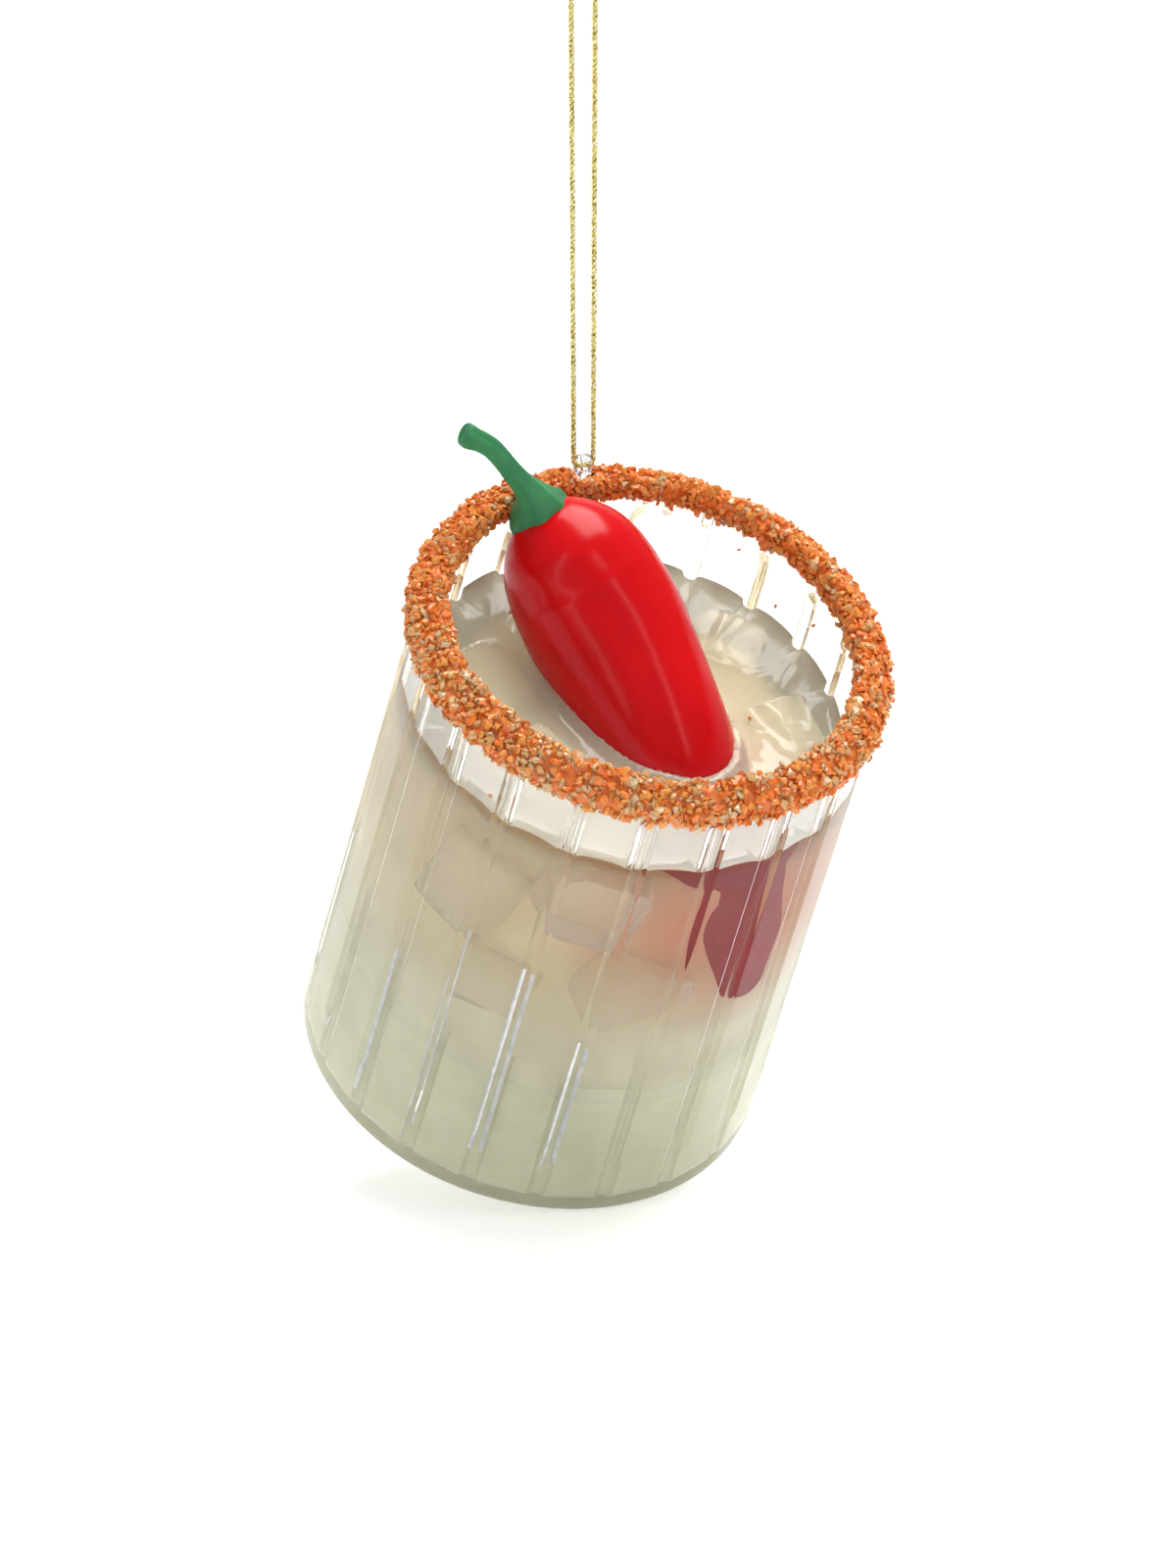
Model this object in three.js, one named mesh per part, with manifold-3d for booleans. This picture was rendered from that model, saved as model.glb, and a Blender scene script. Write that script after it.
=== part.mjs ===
// Cocktail glass ornament: a fluted tumbler of drink with ice and a chili, hung tilted on a cord loop.
// Lengths are millimetres and +Z is up. The origin is where a hook passes under the crown of the loop.

import * as THREE from 'three';
import Module from 'manifold-3d';
import { mergeVertices } from 'three/addons/utils/BufferGeometryUtils.js';
import { ConvexGeometry } from 'three/addons/geometries/ConvexGeometry.js';

// Tumbler
const PANELS = 20;
const FLUTE_TURN_DEG = 0.8;
const BODY_INRADIUS = 27.9;
const WALL = 2.2;
const FLOOR = 1;
const RIM_Z = 68;
const BASE_EDGE_R = 1.1;
const INNER_EDGE_R = 1;
const GROOVE_R = 1.3;
const GROOVE_DEPTH = 0.55;
const GROOVE_START_Z = 8.5;
const RIB_R = 1.1;
const RIB_HEIGHT = 0.8;
const RIB_BELOW_RIM = 2;
const PUNT_R = 19;
const PUNT_HEIGHT = 4;
const PUNT_STEPS = 5;
const LIP_CHAMFER = 0.6;

// Poured resin
const GAP = 0.3;
const BASE_POUR_TOP_Z = 27;
const DRINK_BELOW_RIM = 11;
const ICE_SIZE = 5;
const ICE_PROUD = 1;

// Rim glue and spice crust
const GLUE_OUTSET = 0.2;
const GLUE_THICKNESS = 0.4;
const CRUST_OUTSIDE = 1.3;
const CRUST_INSIDE = 1.2;
const CRUST_RISE = 3.6;
const CRUST_DROP = 0.5;
const CRUST_GRAIN = 0.18;
const CRUST_SEGMENTS = 90;

// Chili
const CHILI_R = 9.7;
const CHILI_TIP_R = 3.1;
const CHILI_REST_BEARING_DEG = 113.7;
const CHILI_REST_TUCK = 3.9;
const CHILI_REST_RISE = 3.8;
const CHILI_TIP_BEARING_DEG = -59.6;
const CHILI_TIP_DROP = 34.8;

// Chili stem
const CALYX_R = 3.9;
const CALYX_LENGTH = 4.2;
const STALK_R = 1.25;
const STALK_END_R = 1.55;
const STEM_REACH = 17;
const PEG_R = 0.9;
const PEG_LENGTH = 4;

// Hanging lug
const LUG_INSET = 0.6;
const LUG_RISE = 3.4;
const LUG_THICKNESS = 1.3;
const LUG_WEB = 0.6;
const LUG_FOOT_WIDTH = 2.4;
const LUG_FOOT_THICKNESS = 1.2;
const LUG_FOOT_DROP = 3.2;
const LUG_BRIDGE = 0.85;

// Cord loop
const CORD_D = 0.8;
const EYE_CLEARANCE = 0.35;
const LEG_CLEARANCE = 0.2;
const LOOP_DROP = 62;
const LEG_HALF_AT_CROWN = 1.55;
const LEG_PARTS = 12;
const EYE_BEND = 0.75;
const CROWN_HEIGHT = 1.6;
const CORD_SIDES = 8;
const KNOT_R = 1.5;
const KNOT_BASE_Z = 0.1;
const KNOT_ENTRY = 1.25;
const KNOT_ENTRY_Z = 0.2;
const TAIL_LENGTH = 6;

// Angle at which the glass hangs when its weight is straight below the lug
const HANG_TILT_DEG = 34.5;

// Colours and finishes
const material = (color, roughness, opacity = 1) =>
  new THREE.MeshStandardMaterial({
    color,
    roughness,
    metalness: 0,
    opacity,
    transparent: opacity < 1,
  });
const CLEAR_PLASTIC = [0xeef2f3, 0.08, 0.3];
const LIME_RESIN = [0xc3c39b, 0.12, 0.7];
const AMBER_RESIN = [0xc8b294, 0.12, 0.6];
const CLEAR_ICE = [0xe9e8dc, 0.05, 0.4];
const CHILI_RED = [0xc8161c, 0.25];
const STEM_GREEN = [0x3c7545, 0.45];
const RIM_GLUE = [0xd9a877, 0.2, 0.6];
const SPICE_ORANGE = [0xc8652e, 0.75];
const CORD_GOLD = [0xb9a14a, 0.4];

const wasm = await Module();
wasm.setup();

// Closed geometry to solid and back
function solidOf(geometry) {
  const bare = geometry.clone();
  bare.deleteAttribute('normal');
  bare.deleteAttribute('uv');
  const merged = mergeVertices(bare, 1e-4);
  return new wasm.Manifold(new wasm.Mesh({
    numProp: 3,
    vertProperties: new Float32Array(merged.attributes.position.array),
    triVerts: new Uint32Array(merged.index.array),
  }));
}

function geometryOf(solid) {
  const mesh = solid.getMesh();
  const geometry = new THREE.BufferGeometry();
  geometry.setAttribute('position', new THREE.BufferAttribute(new Float32Array(mesh.vertProperties), 3));
  geometry.setIndex(new THREE.BufferAttribute(new Uint32Array(mesh.triVerts), 1));
  geometry.computeVertexNormals();
  return geometry;
}

function joined(solids) {
  return solids.reduce((sum, solid) => sum.add(solid));
}

function named(name, geometry, look) {
  const mesh = new THREE.Mesh(geometry, material(...look));
  mesh.name = name;
  return mesh;
}

// A box between two corners
function boxBetween(low, high) {
  const size = high.map((value, i) => value - low[i]);
  const box = new THREE.BoxGeometry(...size);
  box.translate(...low.map((value, i) => value + size[i] / 2));
  return solidOf(box);
}

// An upright ring or disc from radius and height pairs
function turned(profile, segments) {
  const points = profile.map(([r, z]) => new THREE.Vector2(r, z));
  const lathe = new THREE.LatheGeometry(points, segments);
  lathe.rotateX(Math.PI / 2);
  return lathe;
}

// A place round the axis, from its bearing, its distance from the axis and its height
function placed(bearingDeg, r, z) {
  const bearing = THREE.MathUtils.degToRad(bearingDeg);
  return new THREE.Vector3(r * Math.cos(bearing), r * Math.sin(bearing), z);
}

// Fluted tumbler wall: flat panels, a groove outside and a rib inside on each line between panels
const cornerShare = 1 / Math.cos(Math.PI / PANELS);
const bodyCornerR = BODY_INRADIUS * cornerShare;
const cavityInradius = BODY_INRADIUS - WALL;
const cavityCornerR = cavityInradius * cornerShare;
const grooveLineR = bodyCornerR - GROOVE_DEPTH + GROOVE_R;
const ribLineR = cavityCornerR - RIB_HEIGHT + RIB_R;
const ribTopZ = RIM_Z - RIB_BELOW_RIM;
const drinkTopZ = RIM_Z - DRINK_BELOW_RIM;

function fluteAngle(i) {
  return THREE.MathUtils.degToRad(FLUTE_TURN_DEG) + (i * 2 * Math.PI) / PANELS;
}

// Many-sided prism with its corners on the flute lines and rounded end edges
function panelPrism(inradius, lowZ, highZ, edge) {
  const cornerR = inradius * cornerShare;
  const shape = new THREE.Shape();
  for (let i = 0; i < PANELS; i++) {
    const x = cornerR * Math.cos(fluteAngle(i));
    const y = cornerR * Math.sin(fluteAngle(i));
    if (i === 0) shape.moveTo(x, y);
    else shape.lineTo(x, y);
  }
  shape.closePath();
  const prism = new THREE.ExtrudeGeometry(shape, {
    depth: highZ - lowZ - 2 * edge,
    bevelEnabled: edge > 0,
    bevelThickness: edge,
    bevelSize: edge,
    bevelOffset: -edge,
    bevelSegments: 4,
    curveSegments: 1,
  });
  prism.translate(0, 0, lowZ + edge);
  return solidOf(prism);
}

// One upright round-ended rod on every flute line
function fluteRods(rodR, lineR, lowZ, highZ) {
  const rods = [];
  for (let i = 0; i < PANELS; i++) {
    const rod = new THREE.CapsuleGeometry(rodR, highZ - lowZ - 2 * rodR, 2, 10);
    rod.rotateX(Math.PI / 2);
    rod.rotateZ(fluteAngle(i));
    rod.translate(lineR * Math.cos(fluteAngle(i)), lineR * Math.sin(fluteAngle(i)), (lowZ + highZ) / 2);
    rods.push(solidOf(rod));
  }
  return joined(rods);
}

// The ribs inside the wall, grown by a clearance
function ribRods(clearance) {
  return fluteRods(RIB_R + clearance, ribLineR, -RIB_R, ribTopZ + clearance);
}

// Space inside the tumbler between two heights, kept a clearance away from wall and ribs
function cavityPlug(clearance, lowZ, highZ, edge) {
  return panelPrism(cavityInradius - clearance, lowZ, highZ, edge).subtract(ribRods(clearance));
}

// Shallow dome pushed up into the base, raised by a thickness
function puntDome(raise) {
  const lowZ = -BASE_EDGE_R;
  const profile = [[0, lowZ], [PUNT_R + raise, lowZ]];
  for (let i = 0; i <= PUNT_STEPS; i++) {
    const angle = (i / PUNT_STEPS) * (Math.PI / 2);
    profile.push([(PUNT_R + raise) * Math.cos(angle), (PUNT_HEIGHT + raise) * Math.sin(angle)]);
  }
  return solidOf(turned(profile, 40));
}

function makeTumbler() {
  const body = panelPrism(BODY_INRADIUS, 0, RIM_Z + 2 * BASE_EDGE_R, BASE_EDGE_R);
  const reach = 2 * BODY_INRADIUS;
  const aboveRim = boxBetween([-reach, -reach, RIM_Z], [reach, reach, RIM_Z + 4 * BASE_EDGE_R]);
  const cavity = cavityPlug(0, FLOOR, RIM_Z + 2 * INNER_EDGE_R, INNER_EDGE_R);
  const grooves = fluteRods(GROOVE_R, grooveLineR, GROOVE_START_Z, RIM_Z + 4 * GROOVE_R);
  const lip = solidOf(turned([
    [0, RIM_Z - LIP_CHAMFER],
    [cavityCornerR, RIM_Z - LIP_CHAMFER],
    [cavityCornerR + 2 * LIP_CHAMFER, RIM_Z + LIP_CHAMFER],
    [0, RIM_Z + LIP_CHAMFER],
  ], 60));
  return body.subtract(aboveRim).subtract(cavity.subtract(puntDome(FLOOR))).subtract(grooves).subtract(lip)
    .subtract(puntDome(0));
}

// Direction of a path over a stretch on both sides of a point, so that a thick body turns evenly with it
function directionAt(path, share) {
  const stretch = 0.1;
  const from = path.getPointAt(Math.max(share - stretch, 0));
  const to = path.getPointAt(Math.min(share + stretch, 1));
  return to.sub(from).normalize();
}

// Round body of changing thickness that follows a path, from a turned profile bent along it
function bentAlong(path, profile, segments) {
  const length = path.getLength();
  const bent = new THREE.LatheGeometry(profile.map(([r, s]) => new THREE.Vector2(r, s)), segments);
  const position = bent.attributes.position;
  const sideways = new THREE.Vector3(1, 0, 0);
  for (let i = 0; i < position.count; i++) {
    const along = position.getY(i);
    const share = THREE.MathUtils.clamp(along / length, 0, 1);
    const tangent = directionAt(path, share);
    const binormal = tangent.clone().cross(sideways).normalize();
    const normal = binormal.clone().cross(tangent);
    const point = path.getPointAt(share)
      .addScaledVector(tangent, along - share * length)
      .addScaledVector(normal, position.getX(i))
      .addScaledVector(binormal, -position.getZ(i));
    position.setXYZ(i, point.x, point.y, point.z);
  }
  return solidOf(bent);
}

// Chili: it rests near the back rim and its tip is set in the drink beside the front wall
const chiliTipInset = RIB_HEIGHT + GAP + CHILI_TIP_R;
const chiliRestInset = CHILI_R - CHILI_REST_TUCK;
const chiliRest = placed(CHILI_REST_BEARING_DEG, cavityInradius - chiliRestInset, RIM_Z + CHILI_REST_RISE);
const chiliTip = placed(CHILI_TIP_BEARING_DEG, cavityInradius - chiliTipInset, RIM_Z - CHILI_TIP_DROP);

// Shares of the way across and down from rest to tip, and the bow to the side in chili radii
const chiliRoute = [
  { across: 0, down: 0, bow: 0 },
  { across: 0.14, down: 0.207, bow: 0.34 },
  { across: 0.414, down: 0.332, bow: 0.134 },
  { across: 0.67, down: 0.497, bow: -0.02 },
  { across: 0.846, down: 0.744, bow: 0.04 },
  { across: 1, down: 1, bow: 0 },
];
const chiliPath = new THREE.CatmullRomCurve3(chiliRoute.map(({ across, down, bow }) => new THREE.Vector3(
  THREE.MathUtils.lerp(chiliRest.x, chiliTip.x, across) + bow * CHILI_R,
  THREE.MathUtils.lerp(chiliRest.y, chiliTip.y, across),
  THREE.MathUtils.lerp(chiliRest.z, chiliTip.z, down),
)));

// Share of the largest radius and share of the path's length, over the round shoulder and down the flank
const chiliTop = -0.026;
const chiliShoulder = [
  [0.23, -0.022],
  [0.37, -0.014],
  [0.48, 0],
  [0.61, 0.02],
  [0.73, 0.044],
  [0.85, 0.073],
  [0.92, 0.119],
];
const chiliFlank = [
  [0.99, 0.187],
  [1, 0.255],
  [0.94, 0.34],
  [0.89, 0.442],
  [0.88, 0.527],
  [0.84, 0.612],
  [0.75, 0.714],
  [0.62, 0.816],
  [0.47, 0.918],
];

// Outer shape of the chili grown by a clearance
function chiliShape(clearance) {
  const length = chiliPath.getLength();
  const tipR = CHILI_TIP_R + clearance;
  const top = [0, chiliTop * length - clearance];
  const shoulder = chiliShoulder.map(([r, s]) => [r * CHILI_R + clearance / 2, s * length - clearance * 0.8]);
  const flank = chiliFlank.map(([r, s]) => [r * CHILI_R + clearance, s * length]);
  const tip = [0, 30, 60].map((deg) => {
    const angle = THREE.MathUtils.degToRad(deg);
    return [tipR * Math.cos(angle), length + tipR * Math.sin(angle)];
  });
  return bentAlong(chiliPath, [top, ...shoulder, ...flank, ...tip, [0, length + tipR]], 28);
}

// Stem: calyx seated on the shoulder, then a bent stalk with a blunt cut end, as shares of its reach
const stemRoute = [
  [-0.047, 0.053, 0.071],
  [-0.12, 0.05, 0.202],
  [-0.295, 0.109, 0.394],
  [-0.478, 0.19, 0.58],
  [-0.666, 0.247, 0.662],
];
const stemPath = new THREE.CatmullRomCurve3(stemRoute.map((share) =>
  new THREE.Vector3(...share).multiplyScalar(STEM_REACH).add(chiliPath.getPointAt(0))));

function pegAt(radius, depth) {
  const inward = chiliPath.getTangentAt(0);
  const rod = new THREE.CylinderGeometry(radius, radius, depth + CALYX_LENGTH / 2, 16);
  rod.applyQuaternion(new THREE.Quaternion().setFromUnitVectors(new THREE.Vector3(0, 1, 0), inward));
  const centre = stemPath.getPointAt(0).addScaledVector(inward, depth / 2);
  rod.translate(centre.x, centre.y, centre.z);
  return solidOf(rod);
}

function makeStem() {
  const length = stemPath.getLength();
  const neckR = STALK_R + 0.1;
  const profile = [
    [0, -1.6],
    [CALYX_R - 0.5, -1.9],
    [CALYX_R, -1.3],
    [CALYX_R - 0.9, 0],
    [1.85 * neckR, 0.36 * CALYX_LENGTH],
    [1.3 * neckR, 0.7 * CALYX_LENGTH],
    [neckR, CALYX_LENGTH],
    [STALK_R, length * 0.55],
    [STALK_R, length * 0.85],
    [STALK_END_R, length - 0.4],
    [STALK_END_R - 0.2, length + 0.3],
    [STALK_END_R * 0.4, length + 0.7],
    [0, length + 0.5],
  ];
  return bentAlong(stemPath, profile, 18).subtract(chiliShape(GAP)).add(pegAt(PEG_R, PEG_LENGTH));
}

function makeChili() {
  return chiliShape(0).subtract(pegAt(PEG_R + GAP, PEG_LENGTH + GAP));
}

// Repeatable random numbers from 0 to 1
function seededNoise(seed) {
  const MULTIPLIER = 16807;
  const MODULUS = 2147483647;
  let state = seed * MULTIPLIER;
  return () => {
    state = (state * MULTIPLIER) % MODULUS;
    return state / MODULUS;
  };
}

// Ice against the wall, on the first pour and at the surface. Counted in ice sizes: distance in from the wall,
// height over the first pour or depth under the surface, and half sizes
const iceChunks = [
  { bearing: 207.2, inset: 1.2, depth: 3, half: [1.1, 1, 1.3], turn: 30 },
  { bearing: 246.2, inset: 1.42, depth: 2, half: [1.1, 0.9, 1.1], turn: -20 },
  { bearing: 222.9, inset: 1.32, height: 0.6, half: [0.96, 0.9, 0.9], turn: 55 },
  { bearing: 265.4, inset: 1.42, height: 1.2, half: [1, 0.84, 1.2], turn: 10 },
  { bearing: -13.2, inset: 1.2, depth: 0.8, half: [0.86, 1.12, 0.92], turn: 12 },
  { bearing: 34.2, inset: 1.22, depth: 0.8, half: [0.92, 0.92, 1], turn: -35 },
  { bearing: 151.3, inset: 1.6, depth: 0.9, half: [0.92, 1, 1.04], turn: 20 },
  { bearing: 197.7, inset: 2.52, depth: 0.6, half: [0.68, 0.72, 0.76], turn: 40 },
  { bearing: 81.3, inset: 2.5, height: 0.9, half: [1.1, 1, 1.2], turn: 25 },
  { bearing: 159.1, inset: 2.9, height: 0.8, half: [0.92, 1, 1.1], turn: -15 },
  { bearing: 15.9, inset: 1.5, height: 1.2, half: [1, 1, 1.4], turn: 48 },
];

function iceCentre({ bearing, inset, depth, height }) {
  const z = depth === undefined ? BASE_POUR_TOP_Z + height * ICE_SIZE : drinkTopZ - depth * ICE_SIZE;
  return placed(bearing, cavityInradius - inset * ICE_SIZE, z);
}

// An uneven block with two cuts at each corner, grown by a clearance
function iceBlock(chunk, seed, clearance) {
  const noise = seededNoise(seed);
  const uneven = () => 0.8 + 0.2 * noise();
  const points = [];
  for (const sx of [-1, 1]) {
    for (const sy of [-1, 1]) {
      for (const sz of [-1, 1]) {
        const corner = new THREE.Vector3(
          sx * chunk.half[0] * uneven(),
          sy * chunk.half[1] * uneven(),
          sz * chunk.half[2] * uneven(),
        ).multiplyScalar(ICE_SIZE);
        const cut = 0.55 + 0.3 * noise();
        points.push(new THREE.Vector3(corner.x * cut, corner.y, corner.z));
        points.push(new THREE.Vector3(corner.x, corner.y, corner.z * cut));
      }
    }
  }
  const turn = new THREE.Euler(noise() / 2, noise() / 2, THREE.MathUtils.degToRad(chunk.turn));
  const leastReach = Math.min(...chunk.half) * ICE_SIZE * 0.6;
  for (const point of points) {
    point.multiplyScalar(1 + clearance / leastReach).applyEuler(turn).add(iceCentre(chunk));
  }
  return solidOf(new ConvexGeometry(points));
}

// Each chunk is clear of the chili and of the chunks before it
function makeIce() {
  const space = cavityPlug(GAP, BASE_POUR_TOP_Z + GAP, drinkTopZ + ICE_PROUD, 0);
  let taken = chiliShape(GAP);
  return iceChunks.map((chunk, i) => {
    const ice = iceBlock(chunk, i + 1, 0).intersect(space).subtract(taken);
    taken = taken.add(iceBlock(chunk, i + 1, GAP));
    return ice;
  });
}

function makeBasePour() {
  return cavityPlug(GAP, FLOOR + GAP, BASE_POUR_TOP_Z, INNER_EDGE_R).subtract(puntDome(FLOOR + GAP))
    .subtract(chiliShape(GAP));
}

function makeTopPour() {
  const pockets = iceChunks.map((chunk, i) => iceBlock(chunk, i + 1, GAP));
  return cavityPlug(GAP, BASE_POUR_TOP_Z + GAP, drinkTopZ, 0).subtract(joined([chiliShape(GAP), ...pockets]));
}

// Cord sizes that the lug is made to
const cordR = CORD_D / 2;
const legHalfAtLug = LUG_THICKNESS / 2 + cordR + LEG_CLEARANCE;

// Lug: a foot clipped over the rim and down the inside, and an eye standing on it
const lugHoleR = cordR + EYE_CLEARANCE;
const lugR = lugHoleR + LUG_WEB;
const lugY = BODY_INRADIUS - LUG_INSET;
const lugZ = RIM_Z + LUG_RISE;
const lugFootOutY = cavityInradius - GAP;
const lugFootInY = lugFootOutY - LUG_FOOT_THICKNESS;
const lugFootLowZ = RIM_Z - LUG_FOOT_DROP;
const lugBridgeLowZ = RIM_Z + GAP;
const lugBridgeHighZ = lugBridgeLowZ + LUG_BRIDGE;

function makeLug() {
  const foot = boxBetween(
    [-LUG_FOOT_WIDTH / 2, lugFootInY, lugFootLowZ],
    [LUG_FOOT_WIDTH / 2, lugFootOutY, lugBridgeHighZ],
  );
  const bridge = boxBetween(
    [-LUG_FOOT_WIDTH / 2, lugFootInY, lugBridgeLowZ],
    [LUG_FOOT_WIDTH / 2, lugY + lugR, lugBridgeHighZ],
  );
  const neck = boxBetween(
    [-LUG_THICKNESS / 2, lugY - lugR, lugBridgeLowZ],
    [LUG_THICKNESS / 2, lugY + lugR, lugZ],
  );
  const across = (radius, length) => {
    const rod = new THREE.CylinderGeometry(radius, radius, length, 24);
    rod.rotateZ(Math.PI / 2);
    rod.translate(0, lugY, lugZ);
    return solidOf(rod);
  };
  return foot.subtract(ribRods(GAP)).add(bridge).add(neck).add(across(lugR, LUG_THICKNESS))
    .subtract(across(lugHoleR, LUG_THICKNESS * 2));
}

// Room for the lug and the cord's legs in the glue and the crust
function lugClearance() {
  const half = legHalfAtLug + cordR + GAP;
  const inY = cavityInradius - 2 * CRUST_INSIDE;
  return boxBetween([-half, inY, lugFootLowZ], [half, lugY + lugR + GAP, lugZ + lugR]);
}

// Film of glue on the rim
function makeGlue() {
  const low = RIM_Z + GAP;
  const high = low + GLUE_THICKNESS;
  const inR = cavityInradius + GLUE_OUTSET;
  const outR = BODY_INRADIUS + GLUE_OUTSET;
  return solidOf(turned([[inR, low], [outR, low], [outR, high], [inR, high], [inR, low]], 60))
    .subtract(lugClearance());
}

// Crust of grains: a ring with a slot for the rim and a bumpy outside, highest over the inner edge
const crustSlotInR = cavityInradius - GAP;
const crustSlotOutR = bodyCornerR + GAP;
const crustSlotTopZ = RIM_Z + 2 * GAP + GLUE_THICKNESS;
const crustInR = cavityInradius - CRUST_INSIDE;
const crustOutR = BODY_INRADIUS + CRUST_OUTSIDE;

function makeCrust() {
  const lowZ = RIM_Z - CRUST_DROP;
  const topZ = RIM_Z + CRUST_RISE;
  const peakR = cavityInradius + 0.1;
  const profile = [
    [crustSlotInR, RIM_Z - 0.2],
    [crustSlotInR, crustSlotTopZ],
    [crustSlotOutR, crustSlotTopZ],
    [crustSlotOutR, lowZ],
    [crustOutR - 0.15, lowZ - 0.1],
    [crustOutR, RIM_Z + 0.3],
    [crustOutR, RIM_Z + 0.9],
    [crustOutR - 0.5, RIM_Z + 1.4],
    [BODY_INRADIUS - 0.3, topZ - 1.3],
    [BODY_INRADIUS - 1.2, topZ - 0.5],
    [peakR, topZ],
    [peakR - 0.7, topZ - 0.2],
    [crustInR + 0.1, topZ - 1],
    [crustInR, RIM_Z + 1.6],
    [crustInR + 0.15, RIM_Z + 0.6],
    [crustInR + 0.4, RIM_Z],
    [crustSlotInR, RIM_Z - 0.2],
  ];
  const ring = turned(profile, CRUST_SEGMENTS);
  const position = ring.attributes.position;
  const noise = seededNoise(CRUST_SEGMENTS);
  const bumps = Array.from({ length: CRUST_SEGMENTS * profile.length }, () => CRUST_GRAIN * (2 * noise() - 1));
  const middleR = (crustInR + crustOutR) / 2;
  const hair = 0.01;
  for (let i = 0; i < position.count; i++) {
    const [x, y, z] = [position.getX(i), position.getY(i), position.getZ(i)];
    const r = Math.hypot(x, y);
    if (r > crustSlotInR - hair && r < crustSlotOutR + hair && z < crustSlotTopZ + hair) continue;
    const bump = bumps[i % bumps.length];
    const outward = r + Math.sign(r - middleR) * bump;
    position.setXYZ(i, (x * outward) / r, (y * outward) / r, z > crustSlotTopZ ? z + bump : z);
  }
  return solidOf(ring).subtract(lugClearance());
}

// Cord: out of the knot, down one leg, across through the eye and up the other leg
const eyeZ = -LOOP_DROP;

// Curve whose steps are shared evenly between its points, so tight bends get more of them
class Route extends THREE.CatmullRomCurve3 {
  getPointAt(share) {
    return this.getPoint(share);
  }

  getTangentAt(share) {
    return this.getTangent(share);
  }
}

function cordSection() {
  const section = new THREE.Shape();
  section.absarc(0, 0, cordR, 0, 2 * Math.PI);
  return section;
}

function makeCordLoop() {
  const down = [
    [KNOT_ENTRY, KNOT_ENTRY_Z],
    [LEG_HALF_AT_CROWN - 0.06, KNOT_ENTRY_Z - 0.6],
  ];
  for (let i = 0; i <= LEG_PARTS; i++) {
    const share = i / LEG_PARTS;
    const half = THREE.MathUtils.lerp(LEG_HALF_AT_CROWN, legHalfAtLug, share);
    down.push([half, THREE.MathUtils.lerp(-CROWN_HEIGHT, eyeZ + EYE_BEND * 1.6, share)]);
  }
  down.push([legHalfAtLug - 0.1, eyeZ + EYE_BEND * 0.5]);
  down.push([legHalfAtLug - EYE_BEND * 0.6, eyeZ + 0.03]);
  const left = down.map(([half, z]) => new THREE.Vector3(-half, 0, z));
  const right = down.map(([half, z]) => new THREE.Vector3(half, 0, z)).reverse();
  return new THREE.ExtrudeGeometry(cordSection(), {
    steps: (left.length + right.length - 1) * 2,
    curveSegments: CORD_SIDES / 2,
    extrudePath: new Route([...left, ...right]),
  });
}

// Knot where both ends are tied: a round body, two crossing turns and two short tails
function makeCordKnot() {
  const centreZ = KNOT_BASE_Z + KNOT_R;
  const body = new THREE.SphereGeometry(KNOT_R, 12, 8);
  body.scale(1, 0.8, 1);
  body.translate(0, 0, centreZ);
  const turns = [-1, 1].map((side) => {
    const ring = new THREE.TorusGeometry(KNOT_R * 0.72, cordR, 6, 14);
    ring.rotateX(Math.PI / 2);
    ring.rotateY(side * 0.6);
    ring.translate(0, 0, centreZ);
    return solidOf(ring);
  });
  const tails = [-1, 1].map((side) => {
    const spread = side * TAIL_LENGTH;
    const path = new THREE.QuadraticBezierCurve3(
      new THREE.Vector3(0, 0, centreZ),
      new THREE.Vector3(spread * 0.15, 0, centreZ + TAIL_LENGTH * 0.6),
      new THREE.Vector3(spread * 0.45, 0, centreZ + TAIL_LENGTH),
    );
    return solidOf(new THREE.ExtrudeGeometry(cordSection(), {
      steps: 5,
      curveSegments: CORD_SIDES / 2,
      extrudePath: path,
    }));
  });
  return joined([solidOf(body), ...turns, ...tails]);
}

// The glass and what is in it hang tilted, with the eye of the lug straight below the origin
const glass = new THREE.Group();
glass.rotation.x = THREE.MathUtils.degToRad(HANG_TILT_DEG);
const eye = new THREE.Vector3(0, lugY, lugZ).applyEuler(glass.rotation);
glass.position.set(0, -eye.y, eyeZ - eye.z);

glass.add(named('tumbler', geometryOf(makeTumbler()), CLEAR_PLASTIC));
glass.add(named('base_pour', geometryOf(makeBasePour()), LIME_RESIN));
glass.add(named('top_pour', geometryOf(makeTopPour()), AMBER_RESIN));
makeIce().forEach((ice, i) => glass.add(named(`ice_${i + 1}`, geometryOf(ice), CLEAR_ICE)));
glass.add(named('chili_body', geometryOf(makeChili()), CHILI_RED));
glass.add(named('chili_stem', geometryOf(makeStem()), STEM_GREEN));
glass.add(named('rim_glue', geometryOf(makeGlue()), RIM_GLUE));
glass.add(named('rim_crust', geometryOf(makeCrust()), SPICE_ORANGE));
glass.add(named('hanging_lug', geometryOf(makeLug()), CLEAR_PLASTIC));

const ornament = new THREE.Group();
ornament.add(glass);
ornament.add(named('cord_loop', makeCordLoop(), CORD_GOLD));
ornament.add(named('cord_knot', geometryOf(makeCordKnot()), CORD_GOLD));

export default ornament;
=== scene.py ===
import functools
import math

import bmesh
import bpy
import numpy as np
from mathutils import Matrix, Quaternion, Vector, noise as mnoise
from mathutils.bvhtree import BVHTree


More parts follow.
